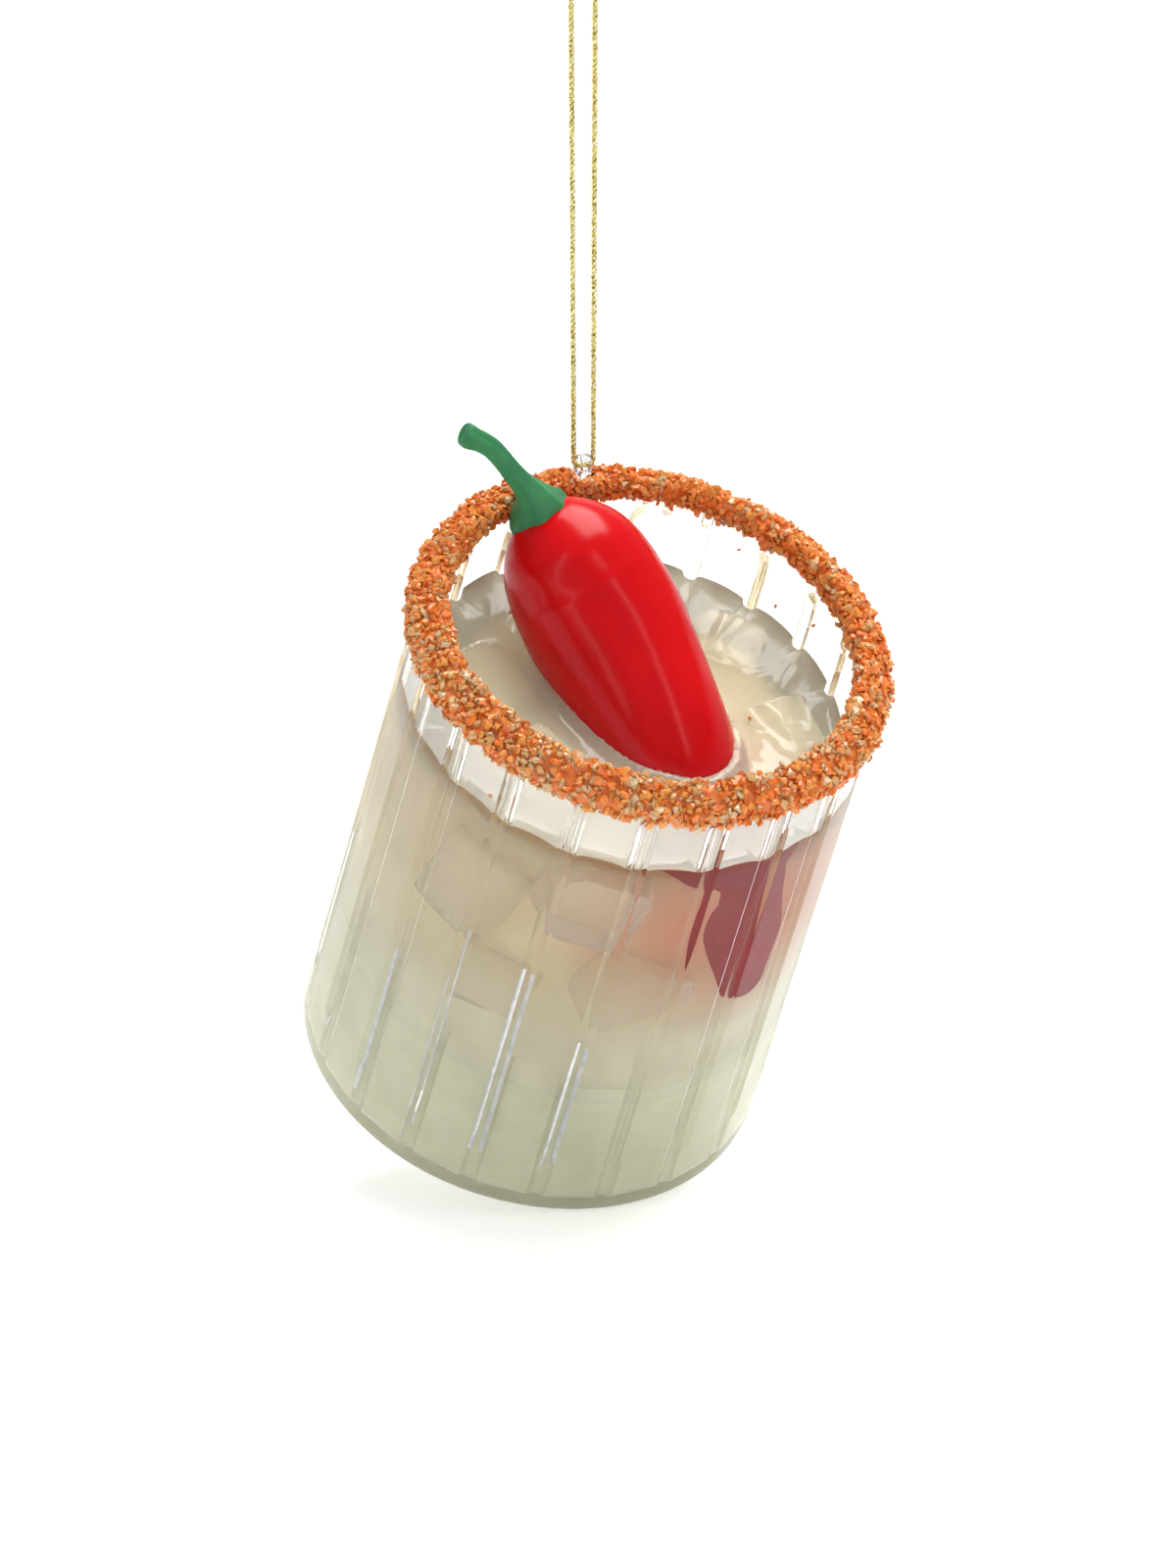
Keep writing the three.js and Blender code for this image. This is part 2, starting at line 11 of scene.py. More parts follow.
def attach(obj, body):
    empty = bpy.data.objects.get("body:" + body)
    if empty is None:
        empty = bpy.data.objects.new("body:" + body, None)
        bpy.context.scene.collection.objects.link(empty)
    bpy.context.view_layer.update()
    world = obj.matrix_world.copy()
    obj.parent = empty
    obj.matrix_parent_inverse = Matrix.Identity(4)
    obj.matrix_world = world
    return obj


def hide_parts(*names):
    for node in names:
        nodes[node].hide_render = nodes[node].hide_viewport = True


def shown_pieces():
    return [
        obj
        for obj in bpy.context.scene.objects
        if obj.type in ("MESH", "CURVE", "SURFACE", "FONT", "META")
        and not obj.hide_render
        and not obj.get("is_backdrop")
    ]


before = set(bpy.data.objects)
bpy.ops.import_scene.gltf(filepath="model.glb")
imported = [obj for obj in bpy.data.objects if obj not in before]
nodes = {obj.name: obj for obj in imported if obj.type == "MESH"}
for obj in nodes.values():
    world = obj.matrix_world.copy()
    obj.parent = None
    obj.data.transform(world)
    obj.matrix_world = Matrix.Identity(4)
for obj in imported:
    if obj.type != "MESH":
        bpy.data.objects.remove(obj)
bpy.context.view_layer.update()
scene = bpy.context.scene

# Sizes in millimetres in the glass's own frame, with z up its axis and y towards the lug
MM_PER_M = 1000.0
PANELS = 20
FLUTE_TURN = math.radians(0.8)
HALF_PANEL = math.pi / PANELS
BODY_R = 27.9
WALL = 2.2
CAVITY_R = BODY_R - WALL
FLOOR_Z = 1.0
RIM_Z = 68.0
BASE_EDGE = 1.1
INNER_EDGE = 1.0
GROOVE_R = 1.3
GROOVE_DEPTH = 0.55
GROOVE_START = 8.5
RIB_R = 1.1
RIB_HEIGHT = 0.8
RIB_TOP = RIM_Z - 2.0
PUNT_R = 19.0
PUNT_H = 4.0
DRINK_Z = RIM_Z - 11.0
CHILI_TIP_R = 3.1
LUG_Y = BODY_R - 0.6
LUG_Z = RIM_Z + 3.4
LOOP_DROP = 62.0
TILT = math.radians(34.5)
GLASS_Y = -(LUG_Y * math.cos(TILT) - LUG_Z * math.sin(TILT))
GLASS_Z = -LOOP_DROP - (LUG_Y * math.sin(TILT) + LUG_Z * math.cos(TILT))


def to_row(points):
    """Glass frame in millimetres to row frame in metres."""
    p = np.asarray(points, float)
    y = p[:, 1] * math.cos(TILT) - p[:, 2] * math.sin(TILT) + GLASS_Y
    z = p[:, 1] * math.sin(TILT) + p[:, 2] * math.cos(TILT) + GLASS_Z
    return np.stack([p[:, 0], y, z], 1) / MM_PER_M


def to_glass(points):
    """Row frame in metres to glass frame in millimetres."""
    p = np.asarray(points, float) * MM_PER_M
    y, z = p[:, 1] - GLASS_Y, p[:, 2] - GLASS_Z
    across = y * math.cos(TILT) + z * math.sin(TILT)
    up = z * math.cos(TILT) - y * math.sin(TILT)
    return np.stack([p[:, 0], across, up], 1)


# Camera, at the photograph's viewing angle
CAMERA_AZIMUTH = math.radians(-22.23)
CAMERA_ELEVATION = math.radians(11.65)
CAMERA_DISTANCE = 1.479
AIM_Z = 62.14
LENS = 287.9
SENSOR_WIDTH = 36
SHIFT_X = -0.0321
SHIFT_Y = -0.06486
CLIP_START = 0.1
CLIP_END = 50


def make_camera():
    aim = Vector(to_row([[0, 0, AIM_Z]])[0])
    back = Vector((
        math.sin(CAMERA_AZIMUTH) * math.cos(CAMERA_ELEVATION),
        -math.cos(CAMERA_AZIMUTH) * math.cos(CAMERA_ELEVATION),
        math.sin(CAMERA_ELEVATION),
    ))
    data = bpy.data.cameras.new("camera")
    data.lens = LENS
    data.sensor_width = SENSOR_WIDTH
    data.shift_x = SHIFT_X
    data.shift_y = SHIFT_Y
    data.clip_start = CLIP_START
    data.clip_end = CLIP_END
    camera = add_object("camera", data)
    camera.location = aim + back * CAMERA_DISTANCE
    camera.rotation_euler = (-back).to_track_quat("-Z", "Y").to_euler()
    scene.camera = camera
    scene.view_settings.view_transform = "Standard"


# Mesh helpers
def add_object(name, data):
    obj = bpy.data.objects.new(name, data)
    scene.collection.objects.link(obj)
    return obj


def new_mesh(name, verts, faces, materials, slots=None, smooth=True, sharp=None):
    """An object from points in metres; edges that turn by more than sharp, in degrees, stay hard."""
    mesh = bpy.data.meshes.new(name)
    mesh.from_pydata([tuple(v) for v in verts], [], faces)
    mesh.validate()
    for m in materials:
        mesh.materials.append(m)
    if slots is not None:
        mesh.polygons.foreach_set("material_index", np.asarray(slots, np.int32))
    mesh.polygons.foreach_set("use_smooth", np.full(len(mesh.polygons), smooth))
    if sharp is not None:
        mesh.set_sharp_from_angle(angle=math.radians(sharp))
    mesh.update()
    return add_object(name, mesh)


def stands_for(obj, cad_nodes, body="glass"):
    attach(obj, body)
    if cad_nodes:
        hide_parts(*cad_nodes)
    return obj


def piece(name, points, faces, materials, cad_nodes, slot_name, slots=None, **looks):
    """A piece that rides on the glass, from points in the glass's own frame."""
    obj = new_mesh(name, to_row(points), faces, materials, slots, **looks)
    return stands_for(obj, cad_nodes)


def grid_faces(rows, cols, start=0, closed=False):
    """Quads between rows whose columns close on themselves; if closed, the last row joins the first."""
    faces = []
    for r in range(rows if closed else rows - 1):
        a = start + r * cols
        b = start + (r + 1) % rows * cols
        faces += [(a + c, a + (c + 1) % cols, b + (c + 1) % cols, b + c) for c in range(cols)]
    return faces


def capped_faces(rows, cols, start):
    """Faces of a closed tube with a flat cap at each end."""
    first = tuple(range(start, start + cols))
    last = tuple(range(start + (rows - 1) * cols, start + rows * cols))
    return grid_faces(rows, cols, start) + [first[::-1], last]


def skin(points, cols, low, high, turned=False):
    """Points and faces of rings joined in order, with a middle point that closes each end."""
    middle = len(points)
    last = middle - cols
    around = [(c, (c + 1) % cols) for c in range(cols)]
    faces = grid_faces(middle // cols, cols)
    faces += [(d, c, middle) for c, d in around]
    faces += [(middle + 1, last + c, last + d) for c, d in around]
    if turned:
        faces = [f[::-1] for f in faces]
    return np.concatenate([points, [low, high]]), faces


def joined(parts):
    """Several pairs of points and faces as one."""
    verts, faces = [], []
    used = 0
    for points, part_faces in parts:
        verts.append(points)
        faces += [tuple(i + used for i in f) for f in part_faces]
        used += len(points)
    return np.concatenate(verts), faces


def points_and_faces(bm):
    """What a bmesh holds, which is then freed."""
    bm.verts.index_update()
    points = np.array([tuple(v.co) for v in bm.verts])
    faces = [tuple(v.index for v in f.verts) for f in bm.faces]
    bm.free()
    return points, faces


def clear_of_slot(verts, faces, half):
    """The faces that leave the lug its notch at the back of the rim."""
    in_slot = (np.abs(verts[:, 0]) < half) & (verts[:, 1] > 0)
    return [f for f in faces if not any(in_slot[i] for i in f)]


def smoothstep(x, lo, hi):
    t = np.clip((np.asarray(x, float) - lo) / (hi - lo), 0, 1)
    return t * t * (3 - 2 * t)


def smooth_min(a, b, k):
    h = np.clip(0.5 + 0.5 * (b - a) / k, 0, 1)
    return b * (1 - h) + a * h - k * h * (1 - h)


def value_noise(points, scale, seed=0.0):
    """Smooth noise from -1 to 1 at each point."""
    offset = Vector((seed * 17.3, seed * 5.1, seed * 9.7))
    return np.array([mnoise.noise(Vector(p) * scale + offset) for p in points])


def unit(vectors):
    return vectors / np.linalg.norm(vectors, axis=-1, keepdims=True)


def between(t, t0, t1, p0, p1):
    return ((t1 - t) * p0 + (t - t0) * p1) / (t1 - t0)


def catmull(points, count):
    """Evenly spaced points along a centripetal Catmull-Rom curve, and its length."""
    p = np.asarray(points, float)
    p = np.concatenate([[2 * p[0] - p[1]], p, [2 * p[-1] - p[-2]]])
    fine = []
    for p0, p1, p2, p3 in zip(p, p[1:], p[2:], p[3:]):
        knots = [0.0]
        for a, b in ((p0, p1), (p1, p2), (p2, p3)):
            knots.append(knots[-1] + max(np.linalg.norm(b - a), 1e-9) ** 0.5)
        t0, t1, t2, t3 = knots
        for t in np.linspace(t1, t2, 60, endpoint=False):
            middle = between(t, t1, t2, p1, p2)
            first = between(t, t0, t2, between(t, t0, t1, p0, p1), middle)
            second = between(t, t1, t3, middle, between(t, t2, t3, p2, p3))
            fine.append(between(t, t1, t2, first, second))
    fine.append(p[-2])
    return evenly(np.array(fine), count)


def evenly(points, count):
    run = np.concatenate([[0], np.cumsum(np.linalg.norm(np.diff(points, axis=0), axis=1))])
    at = np.linspace(0, run[-1], count)
    return np.stack([np.interp(at, run, values) for values in points.T], 1), run[-1]


# Material helpers
def put(socket, value):
    """Give an input its value, or link it to another node or to one of that node's outputs."""
    if isinstance(value, bpy.types.Node):
        value = value.outputs[0]
    if isinstance(value, bpy.types.NodeSocket):
        socket.id_data.links.new(value, socket)
    else:
        socket.default_value = value


def setting(target, *values, **inputs):
    """Fill a node's inputs, in their order or by name."""
    for socket, value in zip(target.inputs, values):
        put(socket, value)
    for key, value in inputs.items():
        put(target.inputs[key.replace("_", " ")], value)
    return target


def node(tree, kind, *values, operation=None, **inputs):
    n = tree.nodes.new("ShaderNode" + kind)
    if operation:
        n.operation = operation
    return setting(n, *values, **inputs)


def material(name):
    m = bpy.data.materials.new(name)
    m.use_nodes = True
    tree = m.node_tree
    tree.nodes.clear()
    shader = node(tree, "BsdfPrincipled")
    return m, tree, shader, node(tree, "OutputMaterial", shader)


def mixed(tree, share, first, second):
    """Two shaders blended, from the first at a share of 0 to the second at 1."""
    return node(tree, "MixShader", share, first, second)


def multiplied(tree, first, second):
    """Two colours multiplied by each other."""
    n = node(tree, "Mix", 1.0)
    n.data_type = "RGBA"
    n.blend_type = "MULTIPLY"
    put(n.inputs[6], first)
    put(n.inputs[7], second)
    return n.outputs[2]


def measured(tree, operation, point, vector):
    """A point's distance from a fixed vector, or its dot product with it."""
    return node(tree, "VectorMath", point, vector, operation=operation).outputs["Value"]


def mapped(tree, value, **ends):
    """A value carried from one range to another, each from 0 to 1 unless its ends are given."""
    return node(tree, "MapRange", value, **ends)


def lets_lamps_through(tree, surface, out, tint):
    """Clear plastic passes direct light straight, so what is inside it is lit."""
    is_shadow = node(tree, "LightPath").outputs["Is Shadow Ray"]
    put(out.inputs[0], mixed(tree, is_shadow, surface, node(tree, "BsdfTransparent", (*tint, 1))))


def ramp(tree, source, stops):
    n = node(tree, "ValToRGB", source)
    elements = n.color_ramp.elements
    while len(elements) < len(stops):
        elements.new(0.5)
    for element, (position, colour) in zip(elements, stops):
        element.position = position
        element.color = (*colour, 1)
    return n


def object_point(tree):
    return node(tree, "TexCoord").outputs["Object"]


def surface_noise(tree, scale, detail=2.0, roughness=0.5):
    return node(tree, "TexNoise", object_point(tree), Scale=scale, Detail=detail, Roughness=roughness)


def bump(shader, scale, detail, strength, depth):
    """Fine relief over the surface, its depth in metres."""
    tree = shader.id_data
    height = surface_noise(tree, scale, detail)
    put(shader.inputs["Normal"], node(tree, "Bump", Height=height, Strength=strength, Distance=depth))


def glass_height(tree, low, high):
    """Share from 0 to 1 of the way up the glass's axis between two heights in millimetres."""
    up = Vector((0, -math.sin(TILT), math.cos(TILT)))
    start = Vector(to_row([[0, 0, low]])[0]).dot(up)
    along = measured(tree, "DOT_PRODUCT", object_point(tree), up)
    return mapped(tree, along, From_Min=start, From_Max=start + (high - low) / MM_PER_M)


def speckled(name, noise, stops, relief, **settings):
    """A material with noise as scale, detail and roughness, and relief as bump takes it."""
    m, tree, shader, _ = material(name)
    setting(shader, Base_Color=ramp(tree, surface_noise(tree, *noise), stops), **settings)
    bump(shader, *relief)
    return m


# Materials: linear colours, and densities per metre
WHITE = (1, 1, 1)
PLASTIC_TINT = (0.86, 0.865, 0.885)
PLASTIC_IOR = 1.49
BONDED_IOR = 1.03
PLASTIC_DULLNESS = 0.55
LIME = (0.92, 0.92, 0.65)
STRAW = (0.91, 0.85, 0.6)
CREAM = (0.92, 0.82, 0.6)
MILKY_TOP_Z = 54
SIDE_TINT = (0.93, 0.9, 0.82)
TOP_TINT = (0.65, 0.63, 0.48)
# Orange-brown band on the drink's side at the height of its edge by the wall
MENISCUS_BAND = (0.9, 0.6, 0.36)
SIDE_STOPS = [
    (0, WHITE), (0.4, SIDE_TINT), (0.885, SIDE_TINT), (0.91, MENISCUS_BAND), (0.95, MENISCUS_BAND), (0.97, SIDE_TINT),
]
TOP_STOPS = [(0, TOP_TINT), (1, TOP_TINT)]
HAZY_RANGE_Z = (27, 60)
# Painted red glow in the milky resin round the chili's sunken end: its colour, and its reach in metres
PAINTED_CHILI_GLOW = (0.86, 0.42, 0.36)
PAINTED_CHILI_GLOW_REACH = 0.019
HAZE_DENSITY = 5.0
TINT_COLOUR = (0.96, 0.67, 0.0)
TINT_DENSITY = 4.0
CHILI_REDS = ((0.46, 0.001, 0.003), (0.55, 0.002, 0.005))
SUNKEN_REDS = ((0.34, 0.003, 0.005), (0.42, 0.004, 0.007))
GRAIN_KINDS = (
    ("grain_bed", (0.55, 0.11, 0.015), (0.72, 0.2, 0.035), 0.0),
    ("deep_grains", (0.62, 0.13, 0.018), (0.7, 0.19, 0.03), 0.0),
    ("orange_grains", (0.65, 0.2, 0.03), (0.71, 0.29, 0.06), 0.05),
    ("apricot_grains", (0.57, 0.28, 0.09), (0.65, 0.39, 0.17), 0.15),
    ("pale_grains", (0.61, 0.41, 0.2), (0.69, 0.53, 0.32), 0.2),
)


def clear_plastic(name, ior, dullness):
    """Clear plastic; the dullness is the share of its outside that mirrors nothing."""
    m, tree, shader, out = material(name)
    setting(shader, Base_Color=(*PLASTIC_TINT, 1), Roughness=0.02, IOR=ior, Transmission_Weight=1.0)
    bump(shader, 160, 2, 0.04, 0.0002)
    bare = node(tree, "BsdfRefraction", Color=(*PLASTIC_TINT, 1), Roughness=0.02, IOR=ior)
    from_inside = node(tree, "NewGeometry").outputs["Backfacing"]
    share = mapped(tree, from_inside, To_Min=dullness, To_Max=0.0)
    lets_lamps_through(tree, mixed(tree, share, shader, bare), out, (0.97, 0.97, 0.975))
    return m


def milky_material():
    """Resin so milky that it scatters light: lime low down, then straw-coloured and cream, with a painted red
    glow round the chili's sunken end.
    """
    m, tree, shader, _ = material("milky_resin")
    stops = [(0, LIME), (0.3, LIME), (0.55, STRAW), (0.8, CREAM), (1, CREAM)]
    tint = ramp(tree, glass_height(tree, 0, MILKY_TOP_Z), stops)
    fine = ramp(tree, surface_noise(tree, 150, 4, 0.6), [(0.32, (0.9, 0.88, 0.86)), (0.68, WHITE)])
    colour = multiplied(tree, multiplied(tree, tint, fine), painted_chili_glow(tree))
    setting(shader, Base_Color=colour, Roughness=0.6, Specular_IOR_Level=0.0)
    return m


def painted_chili_glow(tree):
    """Painted red glow: the red light that the chili's sunken end would cast into the resin round it, painted
    into the colour.
    """
    away = measured(tree, "DISTANCE", object_point(tree), to_row([CHILI_PATH[-2]])[0])
    return ramp(tree, mapped(tree, away, From_Max=PAINTED_CHILI_GLOW_REACH), [(0.35, PAINTED_CHILI_GLOW), (1, WHITE)])


def hazy_material(name, ior, roughness, stops, clearness):
    """Clear resin with a milky skin and a thin haze that takes some blue out of the light."""
    m, tree, shader, out = material(name)
    tint = ramp(tree, glass_height(tree, *HAZY_RANGE_Z), stops)
    setting(shader, Base_Color=tint, Roughness=roughness, IOR=ior, Transmission_Weight=clearness)
    lets_lamps_through(tree, shader, out, (0.97, 0.96, 0.92))
    haze = node(tree, "VolumeScatter", Color=(*WHITE, 1), Density=HAZE_DENSITY)
    warmth = node(tree, "VolumeAbsorption", Color=(*TINT_COLOUR, 1), Density=TINT_DENSITY)
    put(out.inputs["Volume"], node(tree, "AddShader", haze, warmth))
    return m


# Painted highlight: the whitish, partly clear colour of the slivers that stand in for bright lines on the
# flutes
def painted_highlight_material():
    stops = [(0.3, (0.72, 0.74, 0.72)), (0.6, (0.93, 0.94, 0.94))]
    relief = (1500, 2, 0.2, 0.0001)
    looks = {"Roughness": 0.3, "Transmission_Weight": 0.25, "IOR": 1.3}
    return speckled("painted_highlight", (800, 3), stops, relief, **looks)


def ice_material():
    m, tree, shader, out = material("clear_ice")
    setting(shader, Base_Color=(1.0, 0.96, 0.87, 1), Roughness=0.02, IOR=1.15, Transmission_Weight=0.75)
    bump(shader, 220, 3, 0.12, 0.0004)
    lets_lamps_through(tree, shader, out, (0.97, 0.97, 0.95))
    return m


def chili_material(name, dark, light, gloss):
    stops, relief = [(0.3, dark), (0.7, light)], (420, 4, 0.08, 0.0002)
    return speckled(name, (90, 3), stops, relief, Roughness=0.24, Specular_IOR_Level=gloss)


def stem_material():
    stops = [(0.3, (0.02, 0.125, 0.047)), (0.7, (0.04, 0.2, 0.08))]
    relief = (700, 4, 0.25, 0.0002)
    return speckled("stem_green", (160, 4), stops, relief, Roughness=0.4, Specular_IOR_Level=0.18)


def grain_material(name, dark, light, clearness):
    noise, relief = (900, 3, 0.7), (2600, 2, 0.3, 0.0001)
    stops = [(0.35, dark), (0.65, light)]
    return speckled(name, noise, stops, relief, Roughness=0.28, IOR=1.5, Transmission_Weight=clearness)


def glue_material():
    m, tree, shader, out = material("rim_glue")
    tint = ramp(tree, surface_noise(tree, 300, 3), [(0.35, (0.93, 0.68, 0.5)), (0.7, (0.97, 0.86, 0.76))])
    setting(shader, Base_Color=tint, Roughness=0.1, IOR=1.3, Transmission_Weight=1.0)
    lets_lamps_through(tree, shader, out, (0.95, 0.85, 0.75))
    return m


def cord_material():
    # Painted shade and painted glints: the gold's colour swings at random from dark brown to pale yellow,
    # standing in for shade between the strands and glints on them
    stops = [(0.32, (0.22, 0.15, 0.02)), (0.48, (0.82, 0.7, 0.25)), (0.62, (1.0, 0.97, 0.72))]
    return speckled("gold_cord", (2600, 3, 0.7), stops, (5200, 2, 0.9, 0.0002), Metallic=1.0, Roughness=0.28)


# Fluted wall, whose columns lie closer together at the flute lines; angles in degrees from the line
CORNER_STEPS = (0, 0.5, 1.0, 1.4, 1.7, 1.95, 2.15, 2.4, 2.8, 3.6, 5.0, 7.0)
PANEL_MIDDLE = 9.0


def flute_columns():
    """Angle of every column, and its angle from the nearest flute line, in radians."""
    steps = [-s for s in CORNER_STEPS[:0:-1]] + list(CORNER_STEPS) + [PANEL_MIDDLE]
    offsets = np.radians(steps * PANELS)
    lines = FLUTE_TURN + 2 * math.pi * np.arange(PANELS) / PANELS
    return np.repeat(lines, len(steps)) + offsets, offsets


PHI, OFFSET = flute_columns()
COLS = len(PHI)
COS_PHI, SIN_PHI = np.cos(PHI), np.sin(PHI)
PANEL_SHARE = 1 / np.cos(HALF_PANEL - np.abs(OFFSET))
ROUND_SHARE = 1.006
PANELS_FROM = 12.0
GROOVE_END = RIM_Z + 4 * GROOVE_R
GROOVE_LINE_R = BODY_R / math.cos(HALF_PANEL) - GROOVE_DEPTH + GROOVE_R
GROOVE_BLEND = 0.1
RIB_START = -10
RIB_LINE_R = CAVITY_R / math.cos(HALF_PANEL) - RIB_HEIGHT + RIB_R
RIB_BLEND = 0.12
THINNEST_ROD = 0.05
FAR = 1e3
FOOT_Z = 5


def rolled_in(flat, z, rod_r, low, high, line_r, blend):
    """A wall's radii at a height, with a round-ended rod pressed in along every flute line."""
    inside = np.clip(min(z - low, high - z) / rod_r, 0, 1)
    radius = rod_r * math.sqrt(1 - (1 - inside) ** 2)
    if radius <= THINNEST_ROD:
        return flat
    room = radius**2 - (line_r * np.sin(OFFSET)) ** 2
    near = np.where(room > 0, line_r * np.cos(OFFSET) - np.sqrt(np.maximum(room, 0)), FAR)
    return smooth_min(flat, np.minimum(near, flat + 1), blend)


def outer_r(z):
    flat = BODY_R * (ROUND_SHARE + (PANEL_SHARE - ROUND_SHARE) * smoothstep(z, 0, PANELS_FROM))
    return rolled_in(flat, z, GROOVE_R, GROOVE_START, GROOVE_END, GROOVE_LINE_R, GROOVE_BLEND)


def inner_r(z):
    return rolled_in(CAVITY_R * PANEL_SHARE, z, RIB_R, RIB_START, RIB_TOP, RIB_LINE_R, RIB_BLEND)


def ring(r, z):
    r = np.broadcast_to(r, COLS)
    z = np.broadcast_to(z, COLS)
    return np.stack([r * COS_PHI, r * SIN_PHI, z], 1)


def cavity_floor(r):
    dome = 1 - np.clip(np.asarray(r, float) / (PUNT_R + FLOOR_Z), 0, 1) ** 2
    return np.maximum(FLOOR_Z, (PUNT_H + FLOOR_Z) * np.sqrt(dome))


def spaced(low, high, count):
    return list(np.linspace(low, high, count))


def inner_bottom_rows(inset):
    """Rings from the round inner corner in towards the middle of the raised floor."""
    rows = []
    for a in np.radians(spaced(15, 90, 6)):
        r = inner_r(FOOT_Z) - inset - INNER_EDGE * (1 - math.cos(a))
        rows.append(ring(r, FLOOR_Z + inset + INNER_EDGE * (1 - math.sin(a))))
    for share in (0.97, 0.92, 0.85, 0.75, 0.6, 0.42, 0.25, 0.1):
        r = (inner_r(FOOT_Z) - INNER_EDGE) * share
        rows.append(ring(r, cavity_floor(r) + inset))
    return rows


# Heights of the tumbler's rings, outside from the foot up and inside from the rim down
GROOVE_END_STEPS = (0, 0.06, 0.2, 0.45, 0.8, 1.3)
OUTSIDE_Z = [2.5, 4.0, 5.8, 7.5] + [GROOVE_START + step for step in GROOVE_END_STEPS] + [11.5]
OUTSIDE_Z += spaced(13, 66, 12) + [67.4, 67.75]
DRY_INSIDE_Z = (67.4, 66.2, 66.0, 65.9, 65.7, 65.3, 64.9, 63, 61)
WET_INSIDE_Z = spaced(56, 4, 14) + [FLOOR_Z + INNER_EDGE]
LIP_Z = 67.93
LIP_R = outer_r(67.9)
MENISCUS_FOOT = 0.4
MENISCUS_RISE = 0.8
MENISCUS_HALF_WIDTH = math.radians(7.4)


def meniscus_top():
    """Height of the drink's edge at each column: up the panels, down at the ribs."""
    share = np.clip(np.abs(np.abs(OFFSET) - HALF_PANEL) / MENISCUS_HALF_WIDTH, 0, 1)
    return DRINK_Z + MENISCUS_FOOT + MENISCUS_RISE * np.sqrt(1 - share**2)


def make_tumbler(clear, bonded):
    """The wall and base, with its own material where resin is bonded to it."""
    rows = []
    for a in np.radians(spaced(0, 90, 6)):
        z = BASE_EDGE * (1 - math.cos(a))
        rows.append(ring(outer_r(z) - BASE_EDGE * (1 - math.sin(a)), z))
    rows += [ring(outer_r(z), z) for z in OUTSIDE_Z]
    rows += [ring(LIP_R - 0.1, LIP_Z), ring(LIP_R - 0.3, RIM_Z), ring(CAVITY_R * PANEL_SHARE + 0.6, RIM_Z)]
    rows += [ring(inner_r(z), z) for z in DRY_INSIDE_Z]
    dry = len(rows)
    rows.append(ring(inner_r(DRINK_Z), meniscus_top()))
    rows += [ring(inner_r(z), z) for z in WET_INSIDE_Z] + inner_bottom_rows(0)
    under = [ring((outer_r(0) - BASE_EDGE) * share, 0) for share in (0.98, 0.9, 0.8)]
    for share in (1, 0.98, 0.93, 0.82, 0.6, 0.3):
        under.append(ring(PUNT_R * share, PUNT_H * math.sqrt(1 - share**2)))
    points = np.concatenate(under[::-1] + rows)
    verts, faces = skin(points, COLS, (0, 0, PUNT_H), (0, 0, PUNT_H + FLOOR_Z))
    wet_from = (len(under) + dry) * COLS
    slots = [1 if i >= wet_from else 0 for i in range(len(points) - COLS)] + [0] * COLS + [1] * COLS
    return piece("tumbler_wall", verts, faces, [clear, bonded], ["tumbler"], "clear_plastic", slots, sharp=50)


# Painted highlights: whitish slivers in the wall on the flanks of the flutes, standing in for bright lines of
# light there; flute, flank in degrees, heights and width
SEEN_SLIVERS = (
    (11, 0.2, 5.0, 29.0, 0.7), (12, -1.1, 4.0, 32.0, 0.22), (12, 0.9, 7.0, 40.0, 0.34),
    (13, -1.3, 7.5, 38.5, 0.6), (13, 1.2, 7.8, 38.0, 0.6), (14, -1.25, 8.0, 29.0, 0.55),
    (14, 1.2, 8.4, 28.0, 0.6),
)
UNSEEN_FLUTES = (*range(11), 18, 19)
SLIVER_END_STEPS = (0, 0.05, 0.3)
SLIVER_DEPTH = 0.07
SLIVER_HALF_THICKNESS = 0.04
SLIVER_TILT = 0.45
SLIVER_SECTION = ((-1, 0), (-0.8, -1), (0.8, -1), (1, 0), (0.8, 1), (-0.8, 1))


def sliver_list():
    """The slivers seen in the photograph, and others like them round the back."""
    rng = np.random.default_rng(5)
    slivers = list(SEEN_SLIVERS)
    for flute in UNSEEN_FLUTES:
        low, high = rng.uniform(5, 9), rng.uniform(22, 40)
        for flank in (-1.25, 1.2):
            if rng.uniform() < 0.6:
                slivers.append((flute, flank, low, high + rng.uniform(-1, 1), rng.uniform(0.3, 0.6)))
    return slivers


# Painted highlights: whitish slivers along the flute flanks
def make_painted_highlights(highlight_paint):
    verts, faces = [], []
    for flute, flank, low, high, width in sliver_list():
        start = len(verts)
        heights = [low + step for step in SLIVER_END_STEPS] + spaced(low + 2, high - 2, 9)
        heights += [high - step for step in SLIVER_END_STEPS[::-1]]
        column = int(np.argmin(np.abs(OFFSET[:COLS // PANELS] - math.radians(flank))))
        bearing = FLUTE_TURN + 2 * math.pi * flute / PANELS + math.radians(flank)
        out = np.array([math.cos(bearing), math.sin(bearing), 0])
        side = np.array([-math.sin(bearing), math.cos(bearing), 0])
        tilt = math.copysign(SLIVER_TILT, flank) if abs(flank) > 0.5 else 0
        across = unit(side + out * tilt)
        away = np.cross(across, (0, 0, 1.0))
        for z in heights:
            end = 0.25 if z in (low, high) else 1.0
            middle = out * (outer_r(z)[column] - SLIVER_DEPTH) + np.array([0, 0, z])
            for u, v in SLIVER_SECTION:
                verts.append(middle + across * u * width / 2 * end + away * v * SLIVER_HALF_THICKNESS * end)
        faces += capped_faces(len(heights), len(SLIVER_SECTION), start)
    return piece("painted_highlight_slivers", verts, faces, [highlight_paint], [], "clear_plastic", sharp=40)


# Chili and stem follow paths in the glass frame
def placed(bearing, r, z):
    return np.array([r * math.cos(math.radians(bearing)), r * math.sin(math.radians(bearing)), z])


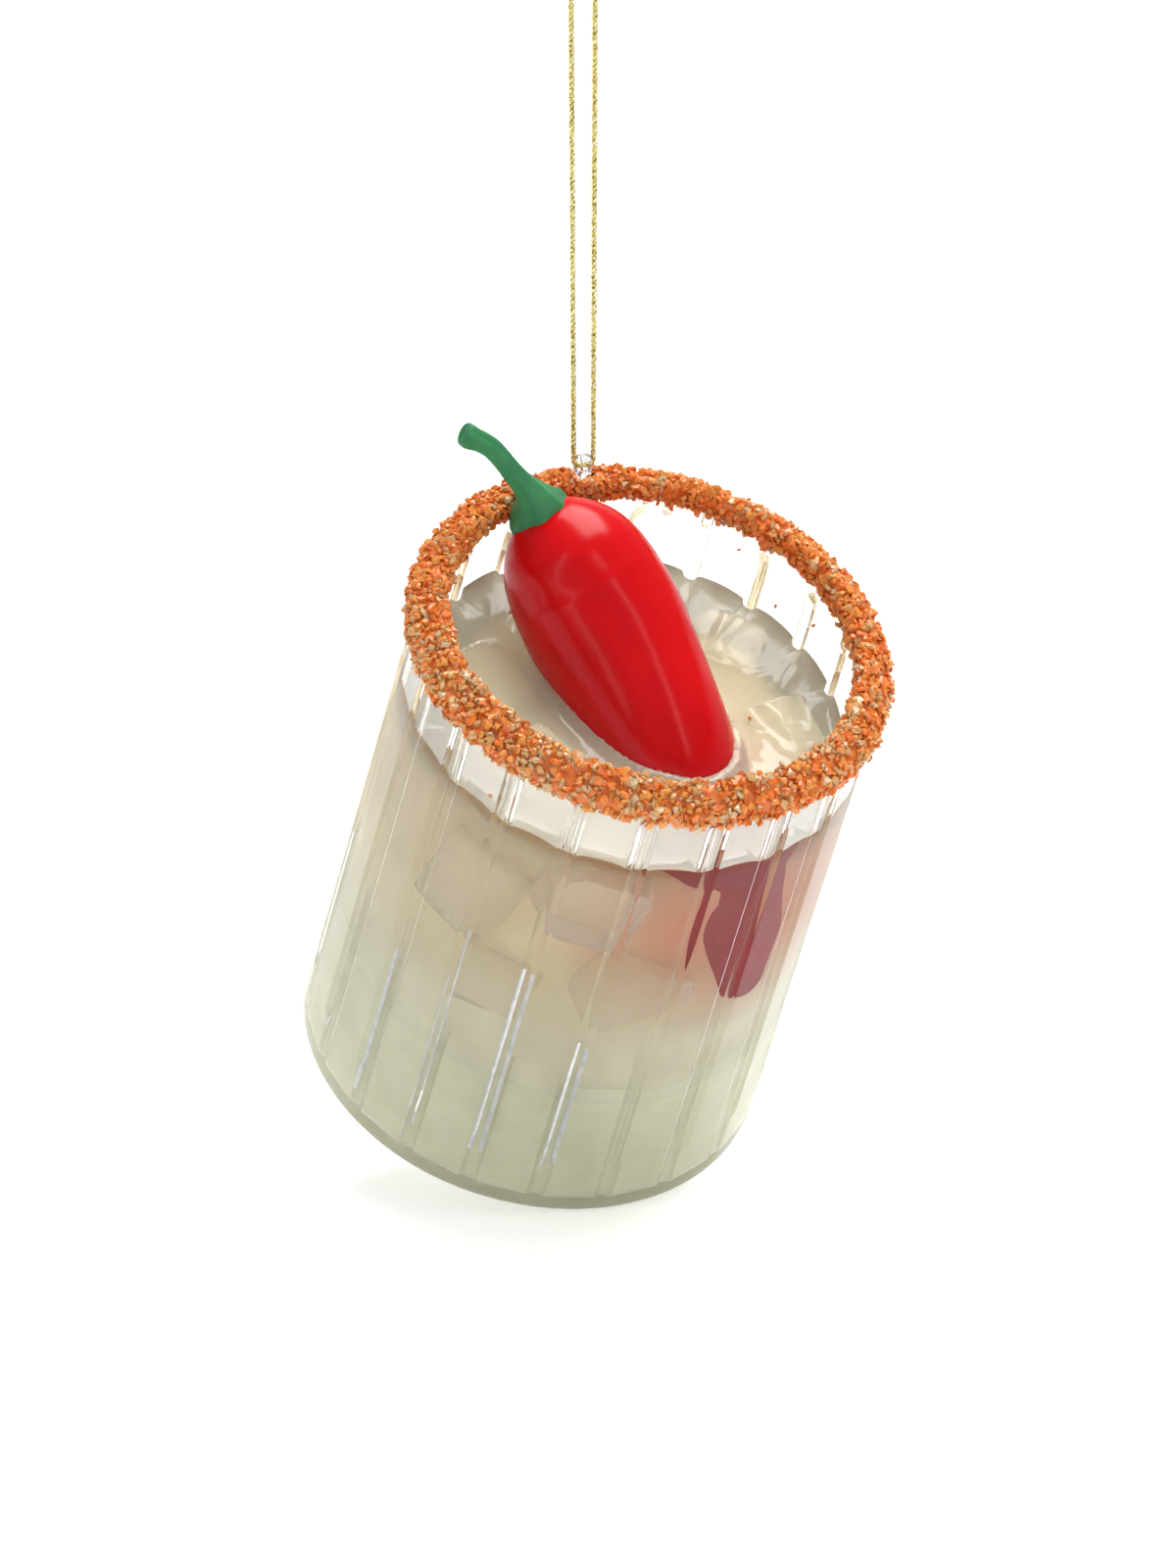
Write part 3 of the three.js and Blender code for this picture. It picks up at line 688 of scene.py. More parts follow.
CHILI_R = 9.7
CHILI_REST = placed(113.7, CAVITY_R - CHILI_R + 3.9, RIM_Z + 3.8)
CHILI_TIP = placed(-59.6, CAVITY_R - RIB_HEIGHT - 0.3 - CHILI_TIP_R, RIM_Z - 34.8)
CHILI_COLS = 144
CHILI_EASE = 36
# Shares of the way from rest to tip, sideways and down, and the bow as a share of the radius
CHILI_ROUTE = (
    (0, 0, 0), (0.14, 0.207, 0.34), (0.414, 0.332, 0.134), (0.67, 0.497, -0.02),
    (0.846, 0.744, 0.04), (1, 1, 0),
)
CHILI_PATH = [
    CHILI_REST + (CHILI_TIP - CHILI_REST) * (across, across, down) + (bow * CHILI_R, 0, 0)
    for across, down, bow in CHILI_ROUTE
]
# Radius as a share of the largest, and distance as a share of the path
CHILI_SHAPE = (
    (0, -0.026), (0.23, -0.022), (0.37, -0.014), (0.48, 0), (0.61, 0.02), (0.73, 0.044), (0.84, 0.078),
    (0.92, 0.124), (0.97, 0.187), (0.985, 0.26), (0.96, 0.345), (0.92, 0.442), (0.89, 0.527), (0.84, 0.612),
    (0.75, 0.714), (0.62, 0.816), (0.47, 0.918),
)
# Where along the chili, in millimetres, its dents lie and how deep they are
DENT_MIDDLE = ((0, 12, 24, 40, 60), (0.05, 0.10, 0.12, -0.05, 0.0))
DENT_DEPTH = ((0, 4, 14, 40, 58), (0, 0.12, 0.34, 0.25, 0))
DENT_WIDTH = 0.2
STEM_REACH = 17.0
STEM_COLS = 72
STEM_ROUTE = (
    (-0.047, 0.053, 0.071), (-0.12, 0.05, 0.202), (-0.295, 0.109, 0.394), (-0.478, 0.19, 0.58),
    (-0.666, 0.247, 0.662),
)
CALYX_SHAPE = (
    (0.4, -1.0), (2.9, -2.0), (3.75, -2.0), (3.95, -1.5), (3.6, -0.6), (3.1, 0.4), (2.55, 1.5), (2.05, 2.7),
    (1.65, 4.0), (1.42, 5.6), (1.3, 7.4),
)
STALK_END_SHAPE = ((1.34, -1.8), (1.52, -0.6), (1.5, -0.1), (1.2, 0.25), (0.7, 0.1), (0.3, 0))
DENT_SIDE = np.array([0.926, -0.312, 0.214])
DENT_FRONT = np.array([-0.371, -0.633, 0.680])


def path_frame(path, count, ease=0):
    """Points, length, directions and two sideways directions along a path that leans along y."""
    points, length = catmull(path, count)
    reach = [min(i, count - 1 - i, ease) for i in range(count)]
    points = np.array([points[i - k:i + k + 1].mean(0) for i, k in enumerate(reach)])
    stretch = count // 10
    at = np.arange(count)
    tangents = unit(points[np.minimum(at + stretch, count - 1)] - points[np.maximum(at - stretch, 0)])
    across = unit(np.cross(tangents, np.array([1.0, 0, 0])))
    return points, length, tangents, np.cross(across, tangents), across


def along_path(frame_parts, s):
    """The frame at a distance along the path, carried on straight past its ends."""
    points, length, tangents, normals, across = frame_parts
    at = np.clip(s / length, 0, 1) * (len(points) - 1)
    i = min(int(at), len(points) - 2)
    f = at - i
    pick = [a[i] * (1 - f) + a[i + 1] * f for a in (points, tangents, normals, across)]
    return pick[0] + pick[1] * (s - np.clip(s, 0, length)), pick[2], pick[3]


def path_ring(frame_parts, s, angles):
    """The path's point at a distance, and the directions out from it all round."""
    point, normal, across = along_path(frame_parts, s)
    return point, np.outer(np.sin(angles), normal) - np.outer(np.cos(angles), across)


def circle(cols):
    return np.linspace(0, 2 * math.pi, cols, endpoint=False)


def make_chili(dry, wet):
    """The flesh with its shallow dents, and its own material where it is under the resin."""
    parts = path_frame(CHILI_PATH, 240, CHILI_EASE)
    length = parts[1]
    shape = [(r * CHILI_R, s * length) for r, s in CHILI_SHAPE] + [(CHILI_TIP_R, length)]
    a = np.radians(range(12, 90, 11))
    tip = np.stack([CHILI_TIP_R * np.cos(a), length + CHILI_TIP_R * np.sin(a)], 1)
    rows, sides = [], []
    for r, s in np.concatenate([catmull(shape, 130)[0][1:], tip]):
        point, out = path_ring(parts, s, circle(CHILI_COLS))
        facing = smoothstep(out @ DENT_FRONT, 0.2, 0.9)
        dent = np.exp(-(((out @ DENT_SIDE - np.interp(s, *DENT_MIDDLE)) / DENT_WIDTH) ** 2)) * facing
        rows.append(point + out * (r - np.interp(s, *DENT_DEPTH) * dent)[:, None])
        sides.append(out)
    points = np.concatenate(rows)
    unevenness = 0.14 * value_noise(points, 0.13, 1) + 0.02 * value_noise(points, 0.6, 2)
    points += np.concatenate(sides) * unevenness[:, None]
    top, end = along_path(parts, shape[0][1])[0], along_path(parts, length + CHILI_TIP_R)[0]
    verts, faces = skin(points, CHILI_COLS, top, end, turned=True)
    slots = [1 if verts[f[0]][2] < DRINK_Z + MENISCUS_FOOT else 0 for f in faces]
    return piece("chili_flesh", verts, faces, [dry, wet], ["chili_body"], "chili_red", slots)


def make_stem(green):
    """The calyx with its lobes, and the ribbed stalk."""
    start = catmull(CHILI_PATH, 240)[0][0]
    parts = path_frame([start + STEM_REACH * np.array(share) for share in STEM_ROUTE], 120)
    length = parts[1]
    shape = CALYX_SHAPE + ((1.28, length * 0.7),) + tuple((r, length + s) for r, s in STALK_END_SHAPE)
    angles = circle(STEM_COLS)
    rows = []
    for r, s in catmull(shape, 150)[0]:
        point, out = path_ring(parts, s, angles)
        ribs = np.interp(s, (-1.5, 0, 3, length, length + 0.1), (0.02, 0.04, 0.06, 0.06, 0))
        lobes = np.interp(s, (-1.6, -1, 1.5), (0.05, 0.04, 0))
        wave = 1 + ribs * np.cos(6 * angles + 0.05 * s) + lobes * np.cos(5 * angles + 1.0)
        rows.append(point + out * (r * wave)[:, None])
    points = np.concatenate(rows)
    points += 0.05 * np.stack([value_noise(points, 0.8, seed) for seed in (3, 4, 5)], 1)
    low, high = along_path(parts, -0.9)[0], along_path(parts, length + 0.05)[0]
    verts, faces = skin(points, STEM_COLS, low, high, turned=True)
    return piece("stem_and_calyx", verts, faces, [green], ["chili_stem"], "stem_green")


# Ice: the frame's chunks with worn edges, cut off just under the drink's surface
ICE_COUNT = 11
ICE_TOP = DRINK_Z - 0.5
ICE_EDGE = 0.22
FILM = 0.06


def ice_shape(name):
    """Points and faces of a chunk in the glass frame, with its edges bevelled."""
    source = nodes[name]
    bm = bmesh.new()
    bm.from_mesh(source.data)
    bm.transform(source.matrix_world)
    for v, p in zip(bm.verts, to_glass([tuple(v.co) for v in bm.verts])):
        v.co = p
    bmesh.ops.remove_doubles(bm, verts=bm.verts, dist=0.01)
    whole = bm.verts[:] + bm.edges[:] + bm.faces[:]
    bmesh.ops.bisect_plane(bm, geom=whole, plane_co=(0, 0, ICE_TOP), plane_no=(0, 0, 1), clear_outer=True)
    open_edges = [e for e in bm.edges if e.is_boundary]
    if open_edges:
        bmesh.ops.holes_fill(bm, edges=open_edges, sides=0)
    bmesh.ops.dissolve_limit(bm, angle_limit=math.radians(2), verts=bm.verts, edges=bm.edges)
    sharp = [e for e in bm.edges if len(e.link_faces) == 2 and e.calc_face_angle() > math.radians(12)]
    bmesh.ops.bevel(
        bm, geom=sharp, offset=ICE_EDGE, segments=2, profile=0.6, affect="EDGES", clamp_overlap=True,
    )
    bmesh.ops.triangulate(bm, faces=bm.faces)
    bmesh.ops.recalc_face_normals(bm, faces=bm.faces)
    return points_and_faces(bm)


def make_ice(clear):
    for i in range(1, ICE_COUNT + 1):
        points, faces = ice_shape(f"ice_{i}")
        piece(f"ice_chunk_{i}", points, faces, [clear], [f"ice_{i}"], "clear_ice", sharp=14)


# Drink
def chili_waterline():
    """Points round the chili where the drink's surface meets it."""
    mesh = bpy.data.objects["chili_flesh"].data
    points = to_glass([tuple(v.co) for v in mesh.vertices])
    return points[np.abs(points[:, 2] - DRINK_Z) < 0.7][:, :2]


@functools.cache
def ice_tops():
    """Search trees of the chunks that reach the drink's surface, in the glass frame."""
    trees = []
    for i in range(1, ICE_COUNT + 1):
        source = nodes[f"ice_{i}"]
        points = to_glass([tuple(source.matrix_world @ v.co) for v in source.data.vertices])
        faces = [tuple(p.vertices) for p in source.data.polygons]
        if points[:, 2].max() > DRINK_Z - 1:
            trees.append(BVHTree.FromPolygons(points.tolist(), faces))
    return trees


def surface_height(points, wall_gap, edge):
    """Height of the drink's surface: up at the wall and chili, over the ice, with faint ripples."""
    z = DRINK_Z + (edge - DRINK_Z) * np.exp(-wall_gap / 1.1)
    shore = chili_waterline()
    near = np.array([np.min(np.hypot(*(shore - p).T)) for p in points])
    z += 1.2 * np.exp(-near / 0.8)
    for tree in ice_tops():
        for k, (x, y) in enumerate(points):
            hit = tree.ray_cast(Vector((x, y, RIM_Z)), Vector((0, 0, -1)))[0]
            if hit is not None and hit.z > DRINK_Z - 1:
                z[k] = -smooth_min(-z[k], -hit.z - FILM, 0.25)
    flat = np.column_stack([points, np.zeros(len(points))])
    return z + 0.10 * value_noise(flat, 0.22, 6) + 0.03 * value_noise(flat, 0.8, 7)


def drink_piece(name, rows, low_middle, high_middle, kinds, materials, cad_node, slot):
    """A closed pour from rings, bottom to top, with a material number for each band between rings."""
    verts, faces = skin(np.concatenate(rows), COLS, low_middle, high_middle)
    slots = [kind for kind in kinds for _ in range(COLS)] + [kinds[0]] * COLS + [kinds[-1]] * COLS
    return piece(name, verts, faces, materials, [cad_node], slot, slots, sharp=50)


POUR_Z = 27.0
POUR_EDGE_Z = 18.5
POUR_GAP = 0.01
DRINK_INSET = 0.02
CLOUD_BEARING = math.radians(59.6)
CLOUD_SHIFT = 4.5
CLOUD_SHIFT_Z = (24, 40)
CLOUD_SPREAD = 0.22
CLOUD_WALL_GAP = 0.3
CLOUD_SHAPE = (
    (0.3, 52.5), (8, 52.4), (14, 52), (17.8, 50.5), (19.4, 46), (20, 39), (20.8, 33.5), (22.6, 28),
    (24.6, 22.5), (24.8, 19.5), (20, 19), (10, 19),
)


def pour_rows(gap):
    """Rings over the milky pour's domed top, from the wall in, with an uneven edge."""
    around = ring(1.0, 0)
    edge = POUR_EDGE_Z + 1.6 * value_noise(around, 1.6, 21) + 0.5 * value_noise(around, 5.0, 22)
    rows = []
    for share in (1, 0.997, 0.99, 0.98, 0.965, 0.945, 0.92, 0.88, 0.83, 0.76, 0.66, 0.5, 0.3, 0.15, 0.02):
        drop = (POUR_Z - edge) * (1 - math.sqrt(1 - share**5))
        rows.append(ring((inner_r(POUR_Z) - DRINK_INSET) * share, POUR_Z - drop + gap))
    return rows


def make_milky_pour(milky):
    rows = inner_bottom_rows(DRINK_INSET)[::-1]
    for z in [FLOOR_Z + INNER_EDGE + DRINK_INSET] + spaced(4, POUR_EDGE_Z - 3.5, 6):
        rows.append(ring(inner_r(z) - DRINK_INSET, z))
    rows += pour_rows(-POUR_GAP)
    low, high = (0, 0, cavity_floor(0) + DRINK_INSET), (0, 0, POUR_Z - POUR_GAP)
    kinds = [0] * (len(rows) - 1)
    return drink_piece("milky_pour", rows, low, high, kinds, [milky], "base_pour", "lime_resin")


def make_cloud(milky):
    """The top pour's cloudy middle, which hides what lies deeper than a few millimetres."""
    rows = []
    turn = PHI - CLOUD_BEARING
    for reach, z in catmull(CLOUD_SHAPE, 34)[0]:
        shift = CLOUD_SHIFT * min(reach / 10, 1) * smoothstep(z, *CLOUD_SHIFT_Z)
        r = shift * np.cos(turn) + np.sqrt(reach**2 - (shift * np.sin(turn)) ** 2)
        rows.append(ring(r * (1 + CLOUD_SPREAD * np.sin(turn) ** 2), z))
    points = np.concatenate(rows)
    lift = 0.9 * value_noise(points, 0.14, 31) + 0.35 * value_noise(points, 0.4, 32)
    points += np.tile(ring(1.0, 0), (len(rows), 1)) * lift[:, None]
    room = np.concatenate([inner_r(z) - CLOUD_WALL_GAP for z in points[::COLS, 2]])
    points[:, :2] *= np.minimum(1, room / np.maximum(np.hypot(points[:, 0], points[:, 1]), 1e-6))[:, None]
    top, bottom = (0, 0, points[:COLS, 2].mean()), (0, 0, CLOUD_SHAPE[-1][1])
    verts, faces = skin(points, COLS, top, bottom, turned=True)
    return piece("cloudy_middle", verts, faces, [milky], ["top_pour"], "amber_resin")


def make_hazy_pour(side, top):
    """The clear pour round the cloud, with its rippled surface."""
    wall = inner_r(DRINK_Z) - DRINK_INSET
    edge = meniscus_top()
    rows = pour_rows(POUR_GAP)[::-1]
    rows += [ring(inner_r(z) - DRINK_INSET, z) for z in spaced(POUR_EDGE_Z + 4, 56, 11)]
    rows.append(ring(wall, edge))
    kinds = [0] * (len(rows) - 1)
    shore = []
    for gap in (0.06, 0.15, 0.3, 0.5, 0.75, 1.05, 1.4, 1.8, 2.3, 2.9):
        share = smoothstep(gap, 0, 2.5)
        shore.append((wall * (1 - share) + CAVITY_R * share - gap, gap))
    shore += [(r, CAVITY_R - r) for r in spaced(CAVITY_R - 3.5, 0.4, 46)]
    for r, gap in shore:
        flat = ring(r, 0)[:, :2]
        rows.append(np.column_stack([flat, surface_height(flat, np.full(COLS, gap), edge)]))
    kinds += [1] * len(shore)
    low, high = (0, 0, POUR_Z + POUR_GAP), (0, 0, rows[-1][:, 2].mean())
    return drink_piece("hazy_pour", rows, low, high, kinds, [side, top], "top_pour", "amber_resin")


# Rim crust: a bumpy bed with loose-looking grains all over it
CRUST_PROFILE = (
    (25.5, 67.9), (25.5, 68.9), (28.3, 68.9), (28.55, 67.5), (29.0, 67.5), (29.1, 68.3), (29.0, 69.0),
    (28.5, 69.5), (27.5, 70.3), (26.6, 71.0), (25.8, 71.4), (25.1, 71.2), (24.75, 70.5), (24.65, 69.6),
    (24.75, 68.7), (25.0, 68.0),
)
CRUST_FACE = CRUST_PROFILE[3:]
CRUST_COLS = 900
GRAINS = 5400
GRAIN_SIZE = 0.49
GRAIN_SPREAD = 0.26
GRAIN_LIMITS = (0.28, 0.78)
SLOT_HALF = 1.1
SLOT_Y = 26.2
COVER_GRAINS = 90
COVER_LIFT = 0.45
CORD_SWEEP = 1.75
CORD_LEAN = math.tan(math.radians(24.5))
CORD_ROOM = 0.55
FALLEN_SIZE = 0.34
FALLEN = (
    (-9.3, 17.6, DRINK_Z + 0.1), (9.6, 16.4, DRINK_Z + 0.1), (14.2, -3.1, DRINK_Z + 0.6), (24.2, 5.9, 63.2),
    (17.9, 17.0, 65.4), (21.9, 11.7, 60.9), (-20.4, -10.9, DRINK_Z + 0.15),
)
FALLEN_KINDS = [1, 1, 2, 1, 1, 2, 1]


def under_cord(points, size):
    """How far up a grain may reach where the cord leans over the crust at the end of its swing."""
    height = LUG_Z + (LUG_Y - points[:, 1]) * CORD_LEAN - CORD_ROOM
    swept = (np.abs(points[:, 0]) < CORD_SWEEP + size) & (points[:, 1] > 0) & (points[:, 1] < LUG_Y)
    return np.where(swept, height, RIM_Z + 10)


def grain_template(rng):
    """A small uneven crystal with flat faces."""
    bm = bmesh.new()
    for p in rng.normal(size=(11, 3)):
        bm.verts.new(p / np.linalg.norm(p) * rng.uniform(0.82, 1.08))
    hull = bmesh.ops.convex_hull(bm, input=bm.verts)
    loose = [g for g in hull["geom_interior"] if isinstance(g, bmesh.types.BMVert)]
    bmesh.ops.delete(bm, geom=loose, context="VERTS")
    bmesh.ops.recalc_face_normals(bm, faces=bm.faces)
    return points_and_faces(bm)


def random_turns(rng, count):
    """Random rotation matrices."""
    return [np.array(Quaternion(q).to_matrix()) for q in unit(rng.normal(size=(count, 4)))]


def strew(rng, centres, sizes, kinds):
    """One mesh's points, faces and slots for grains at the given places."""
    templates = [grain_template(rng) for _ in range(12)]
    turns = random_turns(rng, len(centres))
    stretch = rng.uniform(0.8, 1.2, (len(centres), 3))
    grains, slots = [], []
    for i, centre in enumerate(centres):
        points, faces = templates[i % len(templates)]
        grains.append(((points * stretch[i] * sizes[i]) @ turns[i].T + centre, faces))
        slots += [kinds[i]] * len(faces)
    return *joined(grains), slots


def on_crust(t, bearing):
    """Points and outward directions on the crust's face, t from 0 at its outer foot to 1 inside."""
    outline, _ = evenly(np.array(CRUST_FACE), 200)
    at = t * (len(outline) - 1)
    lines = np.hstack([outline, np.gradient(outline, axis=0)]).T
    r, z, dr, dz = [np.interp(at, range(len(outline)), line) for line in lines]
    away, rise = unit(np.stack([dz, -dr], 1)).T
    turned = np.cos(bearing), np.sin(bearing)
    return [np.stack([out * turned[0], out * turned[1], up], 1) for out, up in ((r, z), (away, rise))]


def crust_bed():
    """Points and faces of the bumpy ring under the grains, open where the lug stands."""
    outline, _ = evenly(np.array(CRUST_PROFILE + CRUST_PROFILE[:1]), 44)
    outline = outline[:-1]
    slope = unit(np.roll(outline, -1, 0) - np.roll(outline, 1, 0))
    verts = []
    for bearing in circle(CRUST_COLS):
        radial = np.array([math.cos(bearing), math.sin(bearing), 0])
        base = np.outer(outline[:, 0], radial) + np.outer(outline[:, 1], (0, 0, 1))
        away = np.outer(slope[:, 1], radial) - np.outer(slope[:, 0], (0, 0, 1))
        lift = 0.4 * value_noise(base, 0.42, 10) + 0.16 * value_noise(base, 1.1, 15) - 0.25
        raised = base + away * lift[:, None]
        raised[:, 2] = np.minimum(raised[:, 2], under_cord(raised, 0.5))
        verts.append(raised)
    verts = np.concatenate(verts)
    quads = grid_faces(CRUST_COLS, len(outline), closed=True)
    return verts, clear_of_slot(verts, [(a, d, c, b) for a, b, c, d in quads], SLOT_HALF)


def crust_grains(rng):
    """Places, sizes and material numbers of the grains: paler in front and in patches."""
    t = rng.beta(0.95, 0.95, GRAINS)
    points, away = on_crust(t, rng.uniform(0, 2 * math.pi, GRAINS))
    sizes = np.clip(rng.lognormal(math.log(GRAIN_SIZE), GRAIN_SPREAD, GRAINS), *GRAIN_LIMITS)
    heap = 0.5 * value_noise(points, 0.42, 10) + 0.35 * value_noise(points, 1.1, 15)
    points = points + away * (rng.uniform(-0.3, 0.15, GRAINS) + 0.75 * heap)[:, None]
    keep = ~((np.abs(points[:, 0]) < SLOT_HALF + 0.2) & (points[:, 1] > SLOT_Y))
    points, sizes, t = points[keep], sizes[keep], t[keep]
    patches = value_noise(points, 0.28, 12) + 0.6 * value_noise(points, 0.7, 16)
    front = smoothstep(-points[:, 1] - 0.4 * points[:, 0], -12, 16)
    pale = np.clip(-0.02 + 0.34 * front + 0.14 * smoothstep(t, 0.3, 0.8) + 0.6 * patches, 0.02, 0.85)
    draw = rng.uniform(size=len(points))
    kind = np.select([draw < pale * 0.3, draw < pale, draw < 0.55 + 0.45 * pale], [4, 3, 2], 1)
    cover_t = rng.uniform(0.6, 0.97, COVER_GRAINS)
    cover, cover_away = on_crust(cover_t, math.pi / 2 + rng.uniform(-0.062, 0.062, COVER_GRAINS))
    points = np.concatenate([points, cover + cover_away * COVER_LIFT])
    sizes = np.concatenate([sizes, rng.uniform(0.32, 0.5, COVER_GRAINS)])
    kind = np.concatenate([kind, rng.integers(1, 4, COVER_GRAINS)])
    clear = points[:, 2] + 1.2 * sizes < under_cord(points, sizes)
    return points[clear], sizes[clear], kind[clear]


def make_crust(materials):
    """The bed with its grains, and a few grains that fell into the glass."""
    rng = np.random.default_rng(11)
    bed = crust_bed()
    *grains, slots = strew(rng, *crust_grains(rng))
    slots = [0] * len(bed[1]) + slots
    verts, faces = joined([bed, grains])
    piece("spice_crust", verts, faces, materials, ["rim_crust"], "spice_grains", slots, smooth=False)
    sizes = np.full(len(FALLEN), FALLEN_SIZE)
    verts, faces, slots = strew(rng, np.array(FALLEN), sizes, FALLEN_KINDS)
    return piece("fallen_grains", verts, faces, materials, [], "spice_grains", slots, smooth=False)


GLUE_FOOT_Z = 67.2
DRIP_LENGTH = 2.3
GLUE_SLOT_HALF = 1.4


def make_glue(glue):
    """A film over the rim whose inner edge runs down the wall in uneven drips."""
    around = ring(CAVITY_R, 0)
    drip = value_noise(around, 0.33, 13) + 0.6 * value_noise(around, 0.9, 14)
    foot = GLUE_FOOT_Z - DRIP_LENGTH * np.clip(drip, -0.1, 1)
    wall = inner_r(RIM_Z - 2.5)
    over = (
        (BODY_R * PANEL_SHARE - 0.2, 0.05), (BODY_R * PANEL_SHARE - 0.1, 0.4), (CAVITY_R + 1.0, 0.5),
        (CAVITY_R + 0.1, 0.45), (CAVITY_R - 0.35, 0),
    )
    rows = [ring(r, RIM_Z + rise) for r, rise in over]
    for share in (0.35, 0.7, 0.92):
        rows.append(ring(wall - 0.25 * (1.15 - share), RIM_Z * (1 - share) + foot * share))
    rows += [ring(wall - 0.02, foot), ring(wall - 0.015, RIM_Z - 0.5)]
    rows.append(ring(CAVITY_R * PANEL_SHARE + 0.6, RIM_Z + 0.05))
    verts = np.concatenate(rows)
    faces = clear_of_slot(verts, grid_faces(len(rows), COLS, closed=True), GLUE_SLOT_HALF)
    return piece("glue_film", verts, faces, [glue], ["rim_glue"], "rim_glue", sharp=50)


LUG_VOXEL = 0.00009
LUG_SOFTENING = 7


def make_lug(clear):
    """The frame's lug with its edges melted round."""
    source = nodes["hanging_lug"]
    mesh = source.data.copy()
    mesh.transform(source.matrix_world)
    mesh.materials.clear()
    rough = add_object("lug_rough", mesh)
    remesh = rough.modifiers.new("even", "REMESH")
    remesh.mode = "VOXEL"
    remesh.voxel_size = LUG_VOXEL
    soften = rough.modifiers.new("soften", "SMOOTH")
    soften.factor = 0.5
    soften.iterations = LUG_SOFTENING
    shaped = bpy.data.meshes.new_from_object(rough.evaluated_get(bpy.context.evaluated_depsgraph_get()))
    bpy.data.objects.remove(rough)
    shaped.name = "lug_nub"
    shaped.materials.append(clear)
    shaped.polygons.foreach_set("use_smooth", np.full(len(shaped.polygons), True))
    return stands_for(add_object("lug_nub", shaped), ["hanging_lug"])


# Cord: three twisted strands, down one leg, through the eye and up the other
STRANDS = 3
STRAND_SIDES = 8
STRAND_R = 0.215
STRAND_OFFSET = 0.19
TWIST_PITCH = 1.9
LEG_HALF_AT_LUG = 1.25
LEG_HALF_AT_CROWN = 1.55
LEG_TOP_Z = -1.6
EYE_Z = -LOOP_DROP
LEG_FOOT_Z = EYE_Z + 1.2
KNOT_Z = 1.6
KNOT_WINDING = 0.78
KNOT_LOBE = 0.42
KNOT_DEPTH = 0.44


def cord_route():
    down = [(1.25, 0.2), (1.49, -0.4)]
    for share in np.linspace(0, 1, 13):
        half = LEG_HALF_AT_CROWN + (LEG_HALF_AT_LUG - LEG_HALF_AT_CROWN) * share
        down.append((half, LEG_TOP_Z + (LEG_FOOT_Z - LEG_TOP_Z) * share))
    down += [(1.15, EYE_Z + 0.375), (0.8, EYE_Z + 0.03)]
    return [(-half, 0, z) for half, z in down] + [(half, 0, z) for half, z in down[::-1]]


def twisted(points, length):
    """Strand surfaces round an evenly spaced centreline, in millimetres."""
    tangents = unit(np.gradient(points, axis=0))
    normal = np.cross(tangents[0], (0.0, 1.0, 0.1))
    verts, faces = [], []
    frames = []
    for tangent in tangents:
        normal = normal - tangent * normal.dot(tangent)
        normal = normal / np.linalg.norm(normal)
        frames.append((normal, np.cross(tangent, normal)))
    turns = np.linspace(0, 2 * math.pi * length / TWIST_PITCH, len(points))
    for strand in range(STRANDS):
        start = len(verts)
        for point, (n, b), turn in zip(points, frames, turns):
            angle = turn + 2 * math.pi * strand / STRANDS
            out = math.cos(angle) * n + math.sin(angle) * b
            side = np.cross(np.cross(n, b), out)
            centre = point + out * STRAND_OFFSET
            for a in circle(STRAND_SIDES):
                verts.append(centre + STRAND_R * (math.cos(a) * out + math.sin(a) * side))
        faces += capped_faces(len(points), STRAND_SIDES, start)
    return verts, faces


def cord_piece(name, runs, gold, cad_node):
    """Twisted strands along each centreline."""
    verts, faces = joined([twisted(*run) for run in runs])
    obj = new_mesh(name, verts / MM_PER_M, faces, [gold])
    return stands_for(obj, [cad_node], "hanger")


def make_cord(gold):
    points, length = catmull(cord_route(), 640)
    obj = cord_piece("twisted_cord", [(points, length)], gold, "cord_loop")
    centre = np.array([0, 0, KNOT_Z])
    t = circle(220)
    around = KNOT_WINDING + KNOT_LOBE * np.cos(3 * t)
    winding = [around * np.cos(2 * t), KNOT_DEPTH * np.sin(3 * t), around * np.sin(2 * t)]
    winding = np.stack(winding, 1) + centre
    runs = [evenly(np.concatenate([winding, winding[:1]]), 180)]
    for side in (-1, 1):
        runs.append(catmull([centre, (side * 0.9, 0.1, 4.6), (side * 2.7, 0, 7.4)], 60))
    knot = cord_piece("overhand_knot", runs, gold, "cord_knot")


# Studio: white all round for the camera, soft light from above and a pale floor
AMBIENT = 0.62
GLOSS_ROOM = (0.22, 0.22, 0.22)
CLEAR_ROOM = (0.6, 0.6, 0.6)
BACKDROP_DIRECTION = (0.378, 0.926, 0.0)
FLOOR_GLOW = 0.42
FLOOR_HALF = 3.0
FLOOR_DROP = 0.0004
LAMP_TARGET = (0, -0.02, -0.1)
# Name, place, width and height in metres, and power in watts
LAMPS = (
    ("overhead", (0.22, 0.06, 0.85), 0.8, 0.7, 15),
    ("left_strip", (-1.03, -1.0, 0.35), 0.07, 1.1, 1.7),
    ("right_strip", (0.3, -1.4, 0.35), 0.07, 1.1, 2.2),
)


